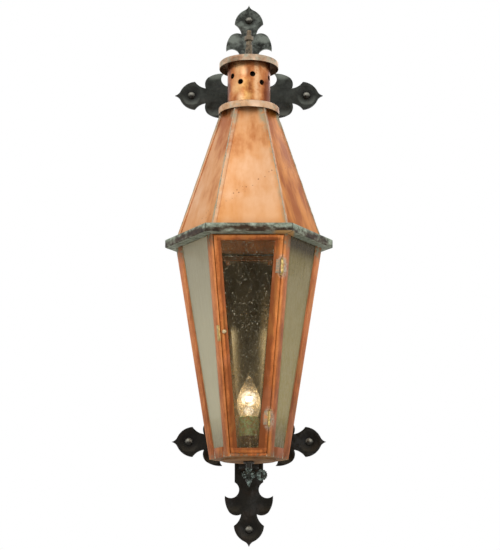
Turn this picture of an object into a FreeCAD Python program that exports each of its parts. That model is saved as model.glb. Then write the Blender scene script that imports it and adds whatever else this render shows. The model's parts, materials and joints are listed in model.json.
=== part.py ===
import FreeCAD, Part
import math
import os

Vector = FreeCAD.Vector
Matrix = FreeCAD.Matrix
Placement = FreeCAD.Placement

# Wall lantern with a six-sided glazed body, a hinged front door and a forged wall bracket.
# Millimetres. X runs to the right, Y into the wall, Z up. The origin lies on the back of the
# wall strap, midway between the two cross bars, level with the top of the glazed body.

# Sheet metal, glass and fits
SHEET = 1.2
GLASS = 3.0
SOLDER_GAP = 0.1
BORE_CLEARANCE = 0.1
RUNNING_CLEARANCE = 0.05

# Wall bracket: strap, cross bars and their leaf ends
PLATE = 6.0
STRAP_WIDTH = 53.0
CROSS_HEIGHT = 337.0
SIDE_SCREW_REACH = 112.0
TOP_SCREW_RISE = 154.0
BOTTOM_SCREW_DROP = 162.0
DISH_DEPTH = 2.6
DISH_RADIUS = 20.0
EAR_DISH_DEPTH = 2.4
EAR_DISH_RADIUS = 15.0

# Leaf outline: distance past the screw towards the tip, then half width
LEAF_TIP = (31.6, 0.0)
LEAF_TIP_HOLLOW = (25.4, 3.1)
LEAF_POINT = (21.8, 7.4)
LEAF_BELLY = (11.1, 21.1)
LEAF_SHOULDER = (-7.0, 27.9)
LEAF_WAIST_HOLLOW = (-16.1, 19.0)
LEAF_WAIST = (-28.5, 14.5)
EAR_BASE = (-26.6, 26.0)
EAR_CORNER = (-32.5, 36.5)
EAR_SIDE = (-46.5, 43.0)
EAR_HORN = (-62.4, 44.5)
EAR_DISH_CENTRE = (-45.0, 27.0)
NECK = (-73.6, 18.2)
LEAF_ROOT = 87.2

# Wall screws
SCREW_HEAD_RADIUS = 7.5
SCREW_HEAD_HEIGHT = 6.5
SCREW_SHANK_RADIUS = 3.0
SCREW_THREAD_RADIUS = 2.75
SCREW_REACH = 32.0
SCREW_POINT = 7.0

# Glazed body
WALL_GAP = 8.0
BODY_BOTTOM_RADIUS = 70.0
BODY_HEIGHT = 384.0
POST_FLANGE = 22.0
FRONT_POST_FLANGE = 16.0
RAIL_HEIGHT = 18.0
PANE_GAP = 3.0
CLIP_WIDTH = 8.0
CLIP_HEIGHT = 8.0
CLIP_SHEET = 1.0
LOW_CLIP_OFFSET = 12.0
HIGH_CLIP_OFFSET = 40.0
BASE_DISH_RADIUS = 48.0
BASE_DISH_DEPTH = 3.0

# Crown, roof, chimney and cap
CROWN_RADIUS = 152.4
CROWN_HEIGHT = 16.0
CROWN_OVERHANG = 19.9
CROWN_LEDGE = 28.4
CROWN_FOLD_RADIUS = 2.2
ROOF_SETBACK = 21.4
ROOF_TOP_CLEARANCE = 1.5
ROOF_HEIGHT = 248.0
ROOF_LAP = 6.5
COLLAR_RIM = 13.0
COLLAR_CLEARANCE = 0.5
CHIMNEY_RADIUS = 39.7
CHIMNEY_WALL = 1.5
CHIMNEY_HEIGHT = 88.0
CHIMNEY_TAIL = 11.0
VENT_RADIUS = 5.2
VENT_COUNT = 6
LOW_VENT_RISE = 40.5
HIGH_VENT_RISE = 54.5
LOW_VENT_TURN = 37.0
HIGH_VENT_TURN = 10.0
CAP_RADIUS = 55.0
CAP_RIM = 12.0
CAP_CONE_RISE = 16.0
CAP_MARGIN = 3.0
FERRULE_FOOT_RADIUS = 7.3
FERRULE_TOP_RADIUS = 5.1
FERRULE_RISE = 44.5
STUD_RADIUS = 4.0
STUD_TOP = 11.0
STUD_TAIL = 9.0
CAP_NUT_FLATS = 14.3
CAP_NUT_HEIGHT = 8.2
BRIDGE_DROP = 24.0
BRIDGE_WIDTH = 16.0
BRIDGE_THICKNESS = 3.0

# Door and hinges
SILL_HEIGHT = 4.8
DOOR_DEPTH = 8.0
DOOR_RAIL = 9.0
LATCH_STILE = 12.0
HINGE_STILE = 15.0
DOOR_BEVEL = 4.0
DOOR_BEVEL_DROP = 0.7
LATCH_JAMB = 2.6
LATCH_GAP = 1.4
HINGE_JAMB = 4.0
HINGE_GAP = 0.8
SILL_GAP = 0.8
HEAD_GAP = 1.0
STOP_GAP = 0.8
STOP_WIDTH = 6.0
GLASS_LAP = 4.0
DOOR_CLIP_RISES = (100.0, 280.0)
KNUCKLE_RADIUS = 2.5
KNUCKLE_CLEARANCE = 0.3
KNUCKLE_GAP = 0.2
LEAF_SHEET = 0.9
DOOR_LEAF_WIDTH = 10.0
HINGE_LENGTH = 24.0
HINGE_PIN_RADIUS = 1.2
HINGE_BALL_RADIUS = 2.1
LOWER_HINGE_RISE = 65.8
UPPER_HINGE_RISE = 330.0
KNOB_RISE = 216.0
KNOB_INSET = 5.9
KNOB_RADIUS = 4.0
KNOB_REACH = 7.0
KNOB_FOOT_RADIUS = 3.4
KNOB_NECK_RADIUS = 1.8
KNOB_SHANK_RADIUS = 1.5
CATCH_DROP = 158.8
CATCH_LENGTH = 27.5
CATCH_SHEET = 0.9
CATCH_SIDE_LEG = 6.0
CATCH_FRONT_LEG = 2.4

# Brackets between the lantern and the wall strap
ARM_SHEET = 5.0
LOWER_ARM_WIDTH = 36.0
LOWER_ARM_GAP = 3.0
LOWER_ARM_LIP = 16.0
LOWER_ARM_FLANGE = 40.0
UPPER_ARM_GAP = 5.0
UPPER_ARM_HEIGHT = 24.0
UPPER_ARM_FLANGE = 44.0
SADDLE_SHEET = 3.0
SADDLE_ANGLE = 80.0
BOLT_RADIUS = 2.0
BOLT_FLATS = 7.0
BOLT_HEAD = 2.8
LOWER_BOLT_PITCH = 18.0
RAIL_BOLT_PITCH = 16.0
UPPER_BOLT_PITCH = 28.0
SADDLE_BOLT_ANGLE = 25.0

# Junction canopy
CANOPY_WIDTH = 130.0
CANOPY_HEIGHT = 125.0
CANOPY_DEPTH = 24.0
CANOPY_DROP = 1.0
CANOPY_SHEET = 1.5
CANOPY_ROUND = 12.0
CANOPY_CHAMFER = 4.0
CANOPY_NOTCH_GAP = 0.5
CANOPY_BOLT_INSET = 14.0

# Lamp and gas fittings
PIPE_RADIUS = 5.15
PIPE_BORE = 3.6
PIPE_DROP = 12.0
LOCKNUT_FLATS = 17.0
LOCKNUT_HEIGHT = 4.0
SOCKET_RADIUS = 17.25
SOCKET_HEIGHT = 35.0
SOCKET_FLOOR = 4.3
SOCKET_BORE = 13.5
CUP_RADIUS = 16.4
CUP_WALL = 2.0
CUP_HEIGHT = 18.7
CUP_RISE = 21.0
BULB_RADIUS = 21.0
BULB_BASE_RADIUS = 13.1
BULB_NECK_RADIUS = 15.6
BULB_LENGTH = 74.8
BULB_BELLY_RISE = 21.0
BULB_TIP_RADIUS = 1.5
BULB_STEPS = 8
BULB_SEAT_GAP = 0.3
BULB_BUTTON_RADIUS = 6.0
BULB_BUTTON_HEIGHT = 2.0

# Valve under the base
VALVE_DROP = 27.0
VALVE_BALL_RADIUS = 6.8
VALVE_NECK_RADIUS = 4.2
VALVE_COLLAR_RADIUS = 5.7
VALVE_COLLAR_HEIGHT = 4.0
VALVE_LOWER_COLLAR = 9.0
VALVE_TIP_DROP = 23.0
VALVE_BARREL_RADIUS = 6.0
VALVE_BARREL_REACH = 9.8
VALVE_BARREL_CHAMFER = 0.9
PLUG_RADIUS = 3.0
PLUG_END_RADIUS = 1.9
PLUG_NUT_FLATS = 6.2
PLUG_NUT_HEIGHT = 2.2
KEY_RADIUS = 10.2
KEY_THICKNESS = 3.6
KEY_NECK_RADIUS = 2.4
KEY_NECK_LENGTH = 0.6
KEY_SHOULDER = 1.6
KEY_SHOULDER_RADIUS = 4.2
KEY_SCALLOPS = 16
KEY_SCALLOP_RADIUS = 0.9
KEY_SLOT_WIDTH = 2.2
KEY_SLOT_LENGTH = 12.0
KEY_SIDE_GAP = 0.3

# Derived places
COS30 = math.cos(math.radians(30))
TAN30 = math.tan(math.radians(30))
SIDES = 6
TURN = 360 / SIDES
BALL_STEPS = 5
BODY_TOP_RADIUS = CROWN_RADIUS - CROWN_OVERHANG
ROOF_BASE_RADIUS = CROWN_RADIUS - ROOF_SETBACK
ROOF_TOP_RADIUS = (CHIMNEY_RADIUS + ROOF_TOP_CLEARANCE + SHEET) / COS30
AXIS_Y = -(PLATE + WALL_GAP + CROWN_RADIUS * COS30)
AXIS = Vector(0, AXIS_Y, 0)
UP = Vector(0, 0, 1)

BODY_LEAN = math.atan((BODY_TOP_RADIUS - BODY_BOTTOM_RADIUS) * COS30 / BODY_HEIGHT)
FACE_LENGTH = BODY_HEIGHT / math.cos(BODY_LEAN)
EDGE_LEAN = (BODY_TOP_RADIUS - BODY_BOTTOM_RADIUS) / 2 / FACE_LENGTH
BODY_SHEET = SHEET / math.cos(BODY_LEAN)

ROOF_FOOT = CROWN_HEIGHT
ROOF_HEAD = ROOF_FOOT + ROOF_HEIGHT
ROOF_LEAN = math.atan((ROOF_BASE_RADIUS - ROOF_TOP_RADIUS) * COS30 / ROOF_HEIGHT)
ROOF_SHEET = SHEET / math.cos(ROOF_LEAN)

COLLAR_TOP = ROOF_HEAD + SHEET
COLLAR_FOOT = COLLAR_TOP - COLLAR_RIM
CHIMNEY_HEAD = COLLAR_TOP + CHIMNEY_HEIGHT - SHEET
CAP_TOP = CHIMNEY_HEAD + SHEET
FERRULE_HEAD = CAP_TOP + FERRULE_RISE
BRIDGE_FLOOR = CHIMNEY_HEAD - BRIDGE_DROP

BASE_TOP = -BODY_HEIGHT + SHEET
BASE_BOTTOM = -BODY_HEIGHT - BASE_DISH_DEPTH
CUP_FLOOR = BASE_TOP + CUP_RISE
SOCKET_FOOT = CUP_FLOOR + CUP_HEIGHT
SOCKET_HEAD = SOCKET_FOOT + SOCKET_HEIGHT
PIPE_FOOT = BASE_BOTTOM - PIPE_DROP
VALVE_HEIGHT = -BODY_HEIGHT - VALVE_DROP
KEY_CENTRE = VALVE_BARREL_REACH + KEY_SIDE_GAP + KEY_SHOULDER + KEY_NECK_LENGTH + KEY_RADIUS

LATCH_EDGE = LATCH_JAMB + LATCH_GAP
HINGE_EDGE = HINGE_JAMB + HINGE_GAP
DOOR_FOOT = SILL_HEIGHT + SILL_GAP
DOOR_HEAD = FACE_LENGTH - DOOR_DEPTH * math.tan(BODY_LEAN) - HEAD_GAP
HINGE_LINE = HINGE_JAMB + HINGE_GAP / 2
KNUCKLE_CENTRE = KNUCKLE_RADIUS + KNUCKLE_CLEARANCE

FACE_NAMES = ("front", "front_right", "rear_right", "rear", "rear_left", "front_left")
CORNER_NAMES = ("front_left", "front_right", "right", "rear_right", "rear_left", "left")


# Geometry helpers

def heading(degrees):
    """Unit vector in plan, at an angle from +X."""
    angle = math.radians(degrees)
    return Vector(math.cos(angle), math.sin(angle), 0)


def face_normal(face):
    """Outward plan direction of one of the six faces; face 0 is the front."""
    return heading(-90 + TURN * face)


def face_run(face):
    """Plan direction along a face, left to right as seen from outside."""
    return heading(TURN * face)


def face_crossing(face_a, apothem_a, face_b, apothem_b):
    """Plan point, from the lantern's axis, where two neighbouring face lines cross."""
    a = face_normal(face_a)
    b = face_normal(face_b)
    area = a.x * b.y - a.y * b.x
    x = (apothem_a * b.y - apothem_b * a.y) / area
    y = (apothem_b * a.x - apothem_a * b.x) / area
    return Vector(x, y, 0)


def lift(points, height):
    """Plan points moved to the lantern's axis and to a height."""
    return [AXIS + point + UP * height for point in points]


def polygon(points):
    return Part.makePolygon(list(points) + [points[0]])


def outward(solid):
    if solid.Volume < 0:
        solid.reverse()
    return solid


def skinned(lower, upper):
    """Solid between two flat loops whose matching edges are coplanar."""
    faces = [Part.Face(polygon(lower)), Part.Face(polygon(upper))]
    for here in range(len(lower)):
        after = (here + 1) % len(lower)
        faces.append(Part.Face(polygon([lower[here], lower[after], upper[after], upper[here]])))
    return outward(Part.Solid(Part.Shell(faces)))


def hexagon(radius, foot, head):
    """Upright six-sided prism on the lantern's axis, with a flat to the front."""
    corners = [heading(TURN * corner) * radius for corner in range(SIDES)]
    return skinned(lift(corners, foot), lift(corners, head))


def turned(profile, centre=AXIS, axis=UP):
    """Revolve a closed (radius, height) profile about an axis."""
    section = Part.Face(polygon([Vector(radius, 0, height) for radius, height in profile]))
    solid = section.revolve(Vector(), UP, 360)
    solid.Placement = Placement(centre, FreeCAD.Rotation(UP, axis))
    return outward(solid)


def ball_points(radius, centre, start, end):
    """Profile points round a ball, between two angles from its equator."""
    return [
        (radius * math.cos(math.radians(start + (end - start) * step / BALL_STEPS)),
         centre + radius * math.sin(math.radians(start + (end - start) * step / BALL_STEPS)))
        for step in range(BALL_STEPS + 1)
    ]


def rod(radius, foot, head, centre=AXIS):
    return Part.makeCylinder(radius, head - foot, centre + UP * foot)


def tube(radius, bore, foot, head):
    return rod(radius, foot, head).cut(rod(bore, foot, head))


def hex_nut(flats, bore, foot, head, centre=AXIS, axis=UP):
    corners = [heading(TURN * corner) * (flats / 2 / COS30) for corner in range(SIDES)]
    nut = Part.Face(polygon(corners)).extrude(UP * (head - foot))
    nut = nut.cut(Part.makeCylinder(bore, head - foot))
    nut.Placement = Placement(centre + axis * foot, FreeCAD.Rotation(UP, axis))
    return nut


def fused(shapes):
    return shapes[0].multiFuse(shapes[1:]).removeSplitter()


# The glazed body's sloping faces: x along the face, y inwards, z up the slope

def body_apothem(height):
    share = (height + BODY_HEIGHT) / BODY_HEIGHT
    return (BODY_BOTTOM_RADIUS + (BODY_TOP_RADIUS - BODY_BOTTOM_RADIUS) * share) * COS30


def half_width(rise):
    """Half the outer width of a body face, at a distance up its slope."""
    return BODY_BOTTOM_RADIUS / 2 + EDGE_LEAN * rise


def face_frame(face):
    normal = face_normal(face)
    run = face_run(face)
    lean = BODY_LEAN
    inward = normal * -math.cos(lean) + UP * math.sin(lean)
    slope = normal * math.sin(lean) + UP * math.cos(lean)
    foot = AXIS + normal * body_apothem(-BODY_HEIGHT) - UP * BODY_HEIGHT
    return Placement(Matrix(
        run.x, inward.x, slope.x, foot.x,
        run.y, inward.y, slope.y, foot.y,
        run.z, inward.z, slope.z, foot.z,
        0, 0, 0, 1))


def on_face(shape, face):
    placed = shape.copy()
    placed.Placement = face_frame(face).multiply(placed.Placement)
    return placed


def slab(points, shallow, deep):
    """Flat piece on a body face, from its (x, rise) outline and its two depths."""
    outline = polygon([Vector(x, shallow, rise) for x, rise in points])
    return Part.Face(outline).extrude(Vector(0, deep - shallow, 0))


def between_edges(low, high, left_inset, right_inset):
    """Outline between two rises, with sides a set distance in from the face's edges."""
    return [
        (left_inset - half_width(low), low),
        (half_width(low) - right_inset, low),
        (half_width(high) - right_inset, high),
        (left_inset - half_width(high), high),
    ]


# Wall bracket

def leaf_outline(place):
    """Edges of one side of a leaf end, from the strap's edge to the tip."""
    root = place(-LEAF_ROOT, STRAP_WIDTH / 2)
    stops = [
        (NECK, EAR_HORN),
        (EAR_SIDE, EAR_CORNER),
        (EAR_BASE, LEAF_WAIST),
        (LEAF_WAIST_HOLLOW, LEAF_SHOULDER),
        (LEAF_BELLY, LEAF_POINT),
        (LEAF_TIP_HOLLOW, LEAF_TIP),
    ]
    edges = []
    start = root
    for middle, end in stops:
        finish = place(*end)
        edges.append(Part.Arc(start, place(*middle), finish).toShape())
        start = finish
    return edges, root


def leaf_bar_face(screws, run, side):
    """Flat outline of a bar with a leaf at each end; run points to the first screw's tip."""
    edges = []
    roots = {}
    for screw, forward in zip(screws, (run, run * -1)):
        for flip in (1, -1):
            def place(reach, width):
                return screw + forward * reach + side * (flip * width)
            half, root = leaf_outline(place)
            edges += half
            roots.setdefault(flip, []).append(root)
    for first, second in roots.values():
        edges.append(Part.LineSegment(first, second).toShape())
    return Part.Face(Part.Wire(Part.__sortEdges__(edges)))


def dish(centre, depth, radius):
    """Ball whose lowest cap sinks a shallow hollow into the bracket's front."""
    ball = (radius * radius + depth * depth) / (2 * depth)
    return Part.makeSphere(ball, centre + Vector(0, -PLATE + depth - ball, 0))


def forged_bar(screws, run, side):
    """Bar with hollowed leaf ends and screw holes."""
    bar = leaf_bar_face(screws, run, side).extrude(Vector(0, -PLATE, 0))
    for screw, forward in zip(screws, (run, run * -1)):
        bar = bar.cut(dish(screw, DISH_DEPTH, DISH_RADIUS))
        reach, width = EAR_DISH_CENTRE
        for flip in (1, -1):
            ear = screw + forward * reach + side * (flip * width)
            bar = bar.cut(dish(ear, EAR_DISH_DEPTH, EAR_DISH_RADIUS))
        hole = SCREW_SHANK_RADIUS + BORE_CLEARANCE
        bar = bar.cut(Part.makeCylinder(hole, PLATE, screw, Vector(0, -1, 0)))
    return bar


STRAP_SCREWS = [
    Vector(0, 0, CROSS_HEIGHT + TOP_SCREW_RISE),
    Vector(0, 0, -CROSS_HEIGHT - BOTTOM_SCREW_DROP),
]


def cross_screws(height):
    return [Vector(SIDE_SCREW_REACH, 0, height), Vector(-SIDE_SCREW_REACH, 0, height)]


def half_lap(height):
    """Block over a crossing, through the front half of the plates."""
    half = STRAP_WIDTH
    corner = Vector(-half, -PLATE, height - half)
    return Part.makeBox(2 * half, PLATE / 2, 2 * half, corner)


def back_strap():
    strap = forged_bar(STRAP_SCREWS, UP, Vector(1, 0, 0))
    for height in (CROSS_HEIGHT, -CROSS_HEIGHT):
        across = leaf_bar_face(cross_screws(height), Vector(1, 0, 0), UP)
        strap = strap.cut(across.extrude(Vector(0, -PLATE, 0)).common(half_lap(height)))
    return drilled(strap)


def cross_bar(height):
    bar = forged_bar(cross_screws(height), Vector(1, 0, 0), UP)
    behind = half_lap(height)
    behind.translate(Vector(0, PLATE / 2, 0))
    upright = leaf_bar_face(STRAP_SCREWS, UP, Vector(1, 0, 0)).extrude(Vector(0, -PLATE, 0))
    return drilled(bar.cut(upright.common(behind)))


def wall_screw(centre):
    """Ball-headed screw seated in a leaf's hollow; behind the plate its shank steps down to the thread."""
    ball = (DISH_RADIUS ** 2 + DISH_DEPTH ** 2) / (2 * DISH_DEPTH)
    sag = ball - math.sqrt(ball ** 2 - SCREW_HEAD_RADIUS ** 2)
    seat = PLATE - DISH_DEPTH + sag
    dome = (SCREW_HEAD_RADIUS ** 2 + SCREW_HEAD_HEIGHT ** 2) / (2 * SCREW_HEAD_HEIGHT)
    middle = seat + SCREW_HEAD_HEIGHT - dome
    start = math.degrees(math.asin((seat - middle) / dome))
    return turned([
        (0, -SCREW_REACH - SCREW_POINT),
        (SCREW_THREAD_RADIUS, -SCREW_REACH),
        (SCREW_THREAD_RADIUS, 0),
        (SCREW_SHANK_RADIUS, 0),
        (SCREW_SHANK_RADIUS, seat),
    ] + ball_points(dome, middle, start, 90), centre, Vector(0, -1, 0))


def wall_screws():
    places = STRAP_SCREWS + cross_screws(CROSS_HEIGHT) + cross_screws(-CROSS_HEIGHT)
    return Part.makeCompound([wall_screw(place) for place in places])


# Brackets and canopy

UPPER_ARM_FOOT = COLLAR_TOP + UPPER_ARM_GAP
UPPER_ARM_MIDDLE = UPPER_ARM_FOOT + UPPER_ARM_HEIGHT / 2
LOWER_ARM_TOP = -BODY_HEIGHT - LOWER_ARM_GAP
LOWER_ARM_FOOT = LOWER_ARM_TOP - ARM_SHEET
LOWER_FLANGE_MIDDLE = LOWER_ARM_FOOT + ARM_SHEET + LOWER_ARM_FLANGE / 2


def strap_bolt_places():
    """Head seat and head direction of each bracket bolt that goes into the wall strap."""
    forward = Vector(0, -1, 0)
    flange = -PLATE - ARM_SHEET
    canopy = -CANOPY_DEPTH
    high = -CANOPY_DROP - CANOPY_BOLT_INSET
    low = -CANOPY_DROP - CANOPY_HEIGHT + CANOPY_BOLT_INSET
    places = [(Vector(0, canopy, high), forward), (Vector(0, canopy, low), forward)]
    for side in (-0.5, 0.5):
        places.append((Vector(0, flange, LOWER_FLANGE_MIDDLE + side * LOWER_BOLT_PITCH), forward))
        places.append((Vector(side * UPPER_BOLT_PITCH, flange, UPPER_ARM_MIDDLE), forward))
    return places


def body_bolt_places():
    """Head seat, head direction and grip of the bolts that hold the lantern to the two arms."""
    places = []
    rear = face_frame(FACE_NAMES.index("rear"))
    lip = ARM_SHEET * math.cos(BODY_LEAN)
    for side in (-0.5, 0.5):
        seat = rear.multVec(Vector(side * RAIL_BOLT_PITCH, -lip, RAIL_HEIGHT / 2))
        inward = rear.Rotation.multVec(Vector(0, 1, 0))
        places.append((seat, inward * -1, lip + SHEET))
        spoke = heading(90 + side * 2 * SADDLE_BOLT_ANGLE)
        outer = CHIMNEY_RADIUS + SADDLE_SHEET
        seat = AXIS + spoke * outer + UP * UPPER_ARM_MIDDLE
        places.append((seat, spoke, SADDLE_SHEET + CHIMNEY_WALL))
    return places


def hex_bolt(seat, direction, grip):
    """Hexagon-headed bolt: a head on its seat and a shank of the grip's length."""
    head = hex_nut(BOLT_FLATS, BOLT_RADIUS, 0, BOLT_HEAD, Vector())
    shank = Part.makeCylinder(BOLT_RADIUS, grip + BOLT_HEAD, UP * -grip)
    bolt = fused([head, shank])
    bolt.Placement = Placement(seat, FreeCAD.Rotation(UP, direction))
    return bolt


def bracket_bolts():
    wall = [hex_bolt(point, forward, -point.y) for point, forward in strap_bolt_places()]
    body = [hex_bolt(*place) for place in body_bolt_places()]
    return Part.makeCompound(wall + body)


def drilled(shape):
    """Clearance holes for the bracket bolts that pass through a piece."""
    hole = BOLT_RADIUS + BORE_CLEARANCE
    places = [(point, forward, -point.y) for point, forward in strap_bolt_places()]
    for point, direction, grip in places + body_bolt_places():
        shape = shape.cut(Part.makeCylinder(hole, grip, point, direction * -1))
    return shape


def lower_arm():
    """Strap folded into a channel, from the wall strap to the lantern's rear bottom rail."""
    rear = AXIS_Y + body_apothem(-BODY_HEIGHT)

    def rail(height):
        return rear + (height + BODY_HEIGHT) * math.tan(BODY_LEAN)

    lip_top = LOWER_ARM_TOP + LOWER_ARM_LIP + LOWER_ARM_GAP
    flange_top = LOWER_ARM_TOP + LOWER_ARM_FLANGE
    section = [
        (-PLATE, LOWER_ARM_FOOT),
        (-PLATE, flange_top),
        (-PLATE - ARM_SHEET, flange_top),
        (-PLATE - ARM_SHEET, LOWER_ARM_TOP),
        (rail(LOWER_ARM_TOP) + ARM_SHEET, LOWER_ARM_TOP),
        (rail(lip_top) + ARM_SHEET, lip_top),
        (rail(lip_top), lip_top),
        (rail(LOWER_ARM_FOOT), LOWER_ARM_FOOT),
    ]
    left = -LOWER_ARM_WIDTH / 2
    outline = polygon([Vector(left, y, z) for y, z in section])
    arm = Part.Face(outline).extrude(Vector(LOWER_ARM_WIDTH, 0, 0))
    lowest = [edge for edge in arm.Edges if edge.BoundBox.ZMax < LOWER_ARM_FOOT + SOLDER_GAP]
    bends = [edge for edge in lowest if edge.BoundBox.XLength > LOWER_ARM_WIDTH / 2]
    return drilled(arm.makeFillet(ARM_SHEET * COS30, bends))


def upper_arm():
    """Forged arm: a saddle round the chimney's back, a web and a flange on the wall strap."""
    head = UPPER_ARM_FOOT + UPPER_ARM_HEIGHT
    inner = CHIMNEY_RADIUS + SOLDER_GAP
    outer = CHIMNEY_RADIUS + SADDLE_SHEET
    saddle = Part.makeCylinder(outer, UPPER_ARM_HEIGHT, AXIS + UP * UPPER_ARM_FOOT, UP, SADDLE_ANGLE)
    saddle.rotate(AXIS, UP, 90 - SADDLE_ANGLE / 2)
    start = AXIS_Y + CHIMNEY_RADIUS + SADDLE_SHEET / 2
    length = -PLATE - start
    corner = Vector(-ARM_SHEET / 2, start, UPPER_ARM_FOOT)
    web = Part.makeBox(ARM_SHEET, length, UPPER_ARM_HEIGHT, corner)
    corner = Vector(-UPPER_ARM_FLANGE / 2, -PLATE - ARM_SHEET, UPPER_ARM_FOOT)
    flange = Part.makeBox(UPPER_ARM_FLANGE, ARM_SHEET, UPPER_ARM_HEIGHT, corner)
    arm = fused([saddle.cut(rod(inner, UPPER_ARM_FOOT, head)), web, flange])
    return drilled(arm)


def canopy_block(inset, back):
    """Round-cornered block with a chamfered front, drawn in by an inset."""
    width = CANOPY_WIDTH - 2 * inset
    height = CANOPY_HEIGHT - 2 * inset
    front = -CANOPY_DEPTH + inset
    corner = Vector(-width / 2, front, -CANOPY_DROP - CANOPY_HEIGHT + inset)
    block = Part.makeBox(width, back - front, height, corner)
    long_edges = [edge for edge in block.Edges if edge.BoundBox.YLength > (back - front) / 2]
    block = block.makeFillet(CANOPY_ROUND - inset, long_edges)
    rim = [edge for edge in block.Edges if edge.BoundBox.YMax < front + SOLDER_GAP]
    return block.makeChamfer(CANOPY_CHAMFER, rim)


def junction_canopy():
    shell = canopy_block(0, 0).cut(canopy_block(CANOPY_SHEET, CANOPY_SHEET))
    width = STRAP_WIDTH + 2 * CANOPY_NOTCH_GAP
    depth = PLATE + CANOPY_NOTCH_GAP
    tall = CANOPY_HEIGHT + 2 * CANOPY_DROP
    notch = Part.makeBox(width, depth, tall, Vector(-width / 2, -depth, -tall))
    return drilled(shell.cut(notch))


# Glazed body

def corner_section(corner, height, before, after, sheet=BODY_SHEET, proud=0.0):
    """Folded angle at a body corner: leg before it, leg after it, and sheet thickness."""
    previous = (corner - 1) % SIDES
    outer = body_apothem(height) + proud
    inner = outer - sheet
    tip = face_crossing(previous, outer, corner, outer)
    heel = face_crossing(previous, inner, corner, inner)
    left = tip - face_run(previous) * before
    right = tip + face_run(corner) * after
    return [
        tip,
        right,
        right - face_normal(corner) * sheet,
        heel,
        left - face_normal(previous) * sheet,
        left,
    ]


def rebate_section(corner, height, flange, jamb):
    """Front post: side flange, jamb face, return beside the door and the stop behind it."""
    front = 0
    side = FACE_NAMES.index("front_left") if corner == 0 else 1
    towards = 1 if corner == 0 else -1
    outer = body_apothem(height)
    inner = outer - BODY_SHEET
    across = face_run(front) * towards
    inwards = face_normal(front) * -1
    tip = face_crossing(front, outer, side, outer)
    heel = face_crossing(front, inner, side, inner)
    back = tip - face_run(side) * (towards * flange)
    deep = (DOOR_DEPTH + STOP_GAP) / math.cos(BODY_LEAN)
    return [
        tip,
        tip + across * jamb,
        tip + across * jamb + inwards * deep,
        tip + across * (jamb + STOP_WIDTH) + inwards * deep,
        tip + across * (jamb + STOP_WIDTH) + inwards * (deep + BODY_SHEET),
        tip + across * (jamb - SHEET) + inwards * (deep + BODY_SHEET),
        tip + across * (jamb - SHEET) + inwards * BODY_SHEET,
        heel,
        back - face_normal(side) * BODY_SHEET,
        back,
    ]


def corner_post(corner):
    ends = []
    for height in (-BODY_HEIGHT, 0):
        if CORNER_NAMES[corner] == "front_left":
            section = rebate_section(corner, height, FRONT_POST_FLANGE, LATCH_JAMB)
        elif CORNER_NAMES[corner] == "front_right":
            section = rebate_section(corner, height, FRONT_POST_FLANGE, HINGE_JAMB)
        else:
            section = corner_section(corner, height, POST_FLANGE, POST_FLANGE)
        ends.append(lift(section, height))
    return skinned(*ends)


def flange_inset(face, at_start):
    """Width of the post flange at the start or the end of a face."""
    corner = face if at_start else (face + 1) % SIDES
    front = CORNER_NAMES[corner] in ("front_left", "front_right")
    return (FRONT_POST_FLANGE if front else POST_FLANGE) + SOLDER_GAP


def bottom_rail(face):
    outline = between_edges(0, RAIL_HEIGHT, flange_inset(face, True), flange_inset(face, False))
    rail = on_face(slab(outline, 0, SHEET), face)
    return drilled(rail) if FACE_NAMES[face] == "rear" else rail


def front_sill():
    outline = between_edges(0, SILL_HEIGHT, LATCH_JAMB + SOLDER_GAP, HINGE_JAMB + SOLDER_GAP)
    return on_face(slab(outline, 0, SHEET), 0)


PANE_DEPTH = SHEET + GLASS
PANE_INSET = PANE_DEPTH * math.cos(BODY_LEAN) * TAN30 + PANE_GAP
PANE_FOOT = SHEET / math.cos(BODY_LEAN) + SOLDER_GAP


def pane(face):
    head = FACE_LENGTH - PANE_DEPTH * math.tan(BODY_LEAN) - SOLDER_GAP
    outline = between_edges(PANE_FOOT, head, PANE_INSET, PANE_INSET)
    return on_face(slab(outline, SHEET, PANE_DEPTH), face)


def pane_clips():
    """Tabs on the base plate and under the crown that stand behind each fixed pane."""
    shallow = PANE_DEPTH + SOLDER_GAP
    deep = shallow + CLIP_SHEET
    low = PANE_FOOT
    high = FACE_LENGTH - deep * math.tan(BODY_LEAN) - SOLDER_GAP
    clips = []
    for face in range(1, SIDES):
        for side in (-1, 1):
            for foot, head, offset in (
                    (low, low + CLIP_HEIGHT, LOW_CLIP_OFFSET),
                    (high - CLIP_HEIGHT, high, HIGH_CLIP_OFFSET)):
                left = side * offset - CLIP_WIDTH / 2
                right = side * offset + CLIP_WIDTH / 2
                outline = [(left, foot), (right, foot), (right, head), (left, head)]
                clips.append(on_face(slab(outline, shallow, deep), face))
    return Part.makeCompound(clips)


def base_plate():
    """Six-sided floor with a shallow pressed dish, notched round the front posts."""
    apothem = body_apothem(-BODY_HEIGHT) - BODY_SHEET - SOLDER_GAP
    plate = hexagon(apothem / COS30, -BODY_HEIGHT, BASE_TOP)
    inner = BASE_DISH_RADIUS - SHEET
    plate = plate.cut(rod(inner, -BODY_HEIGHT, BASE_TOP))
    wall = tube(BASE_DISH_RADIUS, inner, BASE_BOTTOM, -BODY_HEIGHT + SHEET / 2)
    floor = rod(BASE_DISH_RADIUS, BASE_BOTTOM, BASE_BOTTOM + SHEET)
    plate = fused([plate, wall, floor])
    plate = plate.cut(rod(PIPE_RADIUS + BORE_CLEARANCE, BASE_BOTTOM, BASE_TOP))
    return plate.cut(corner_post(0)).cut(corner_post(1))


# Crown, roof and chimney

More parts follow.
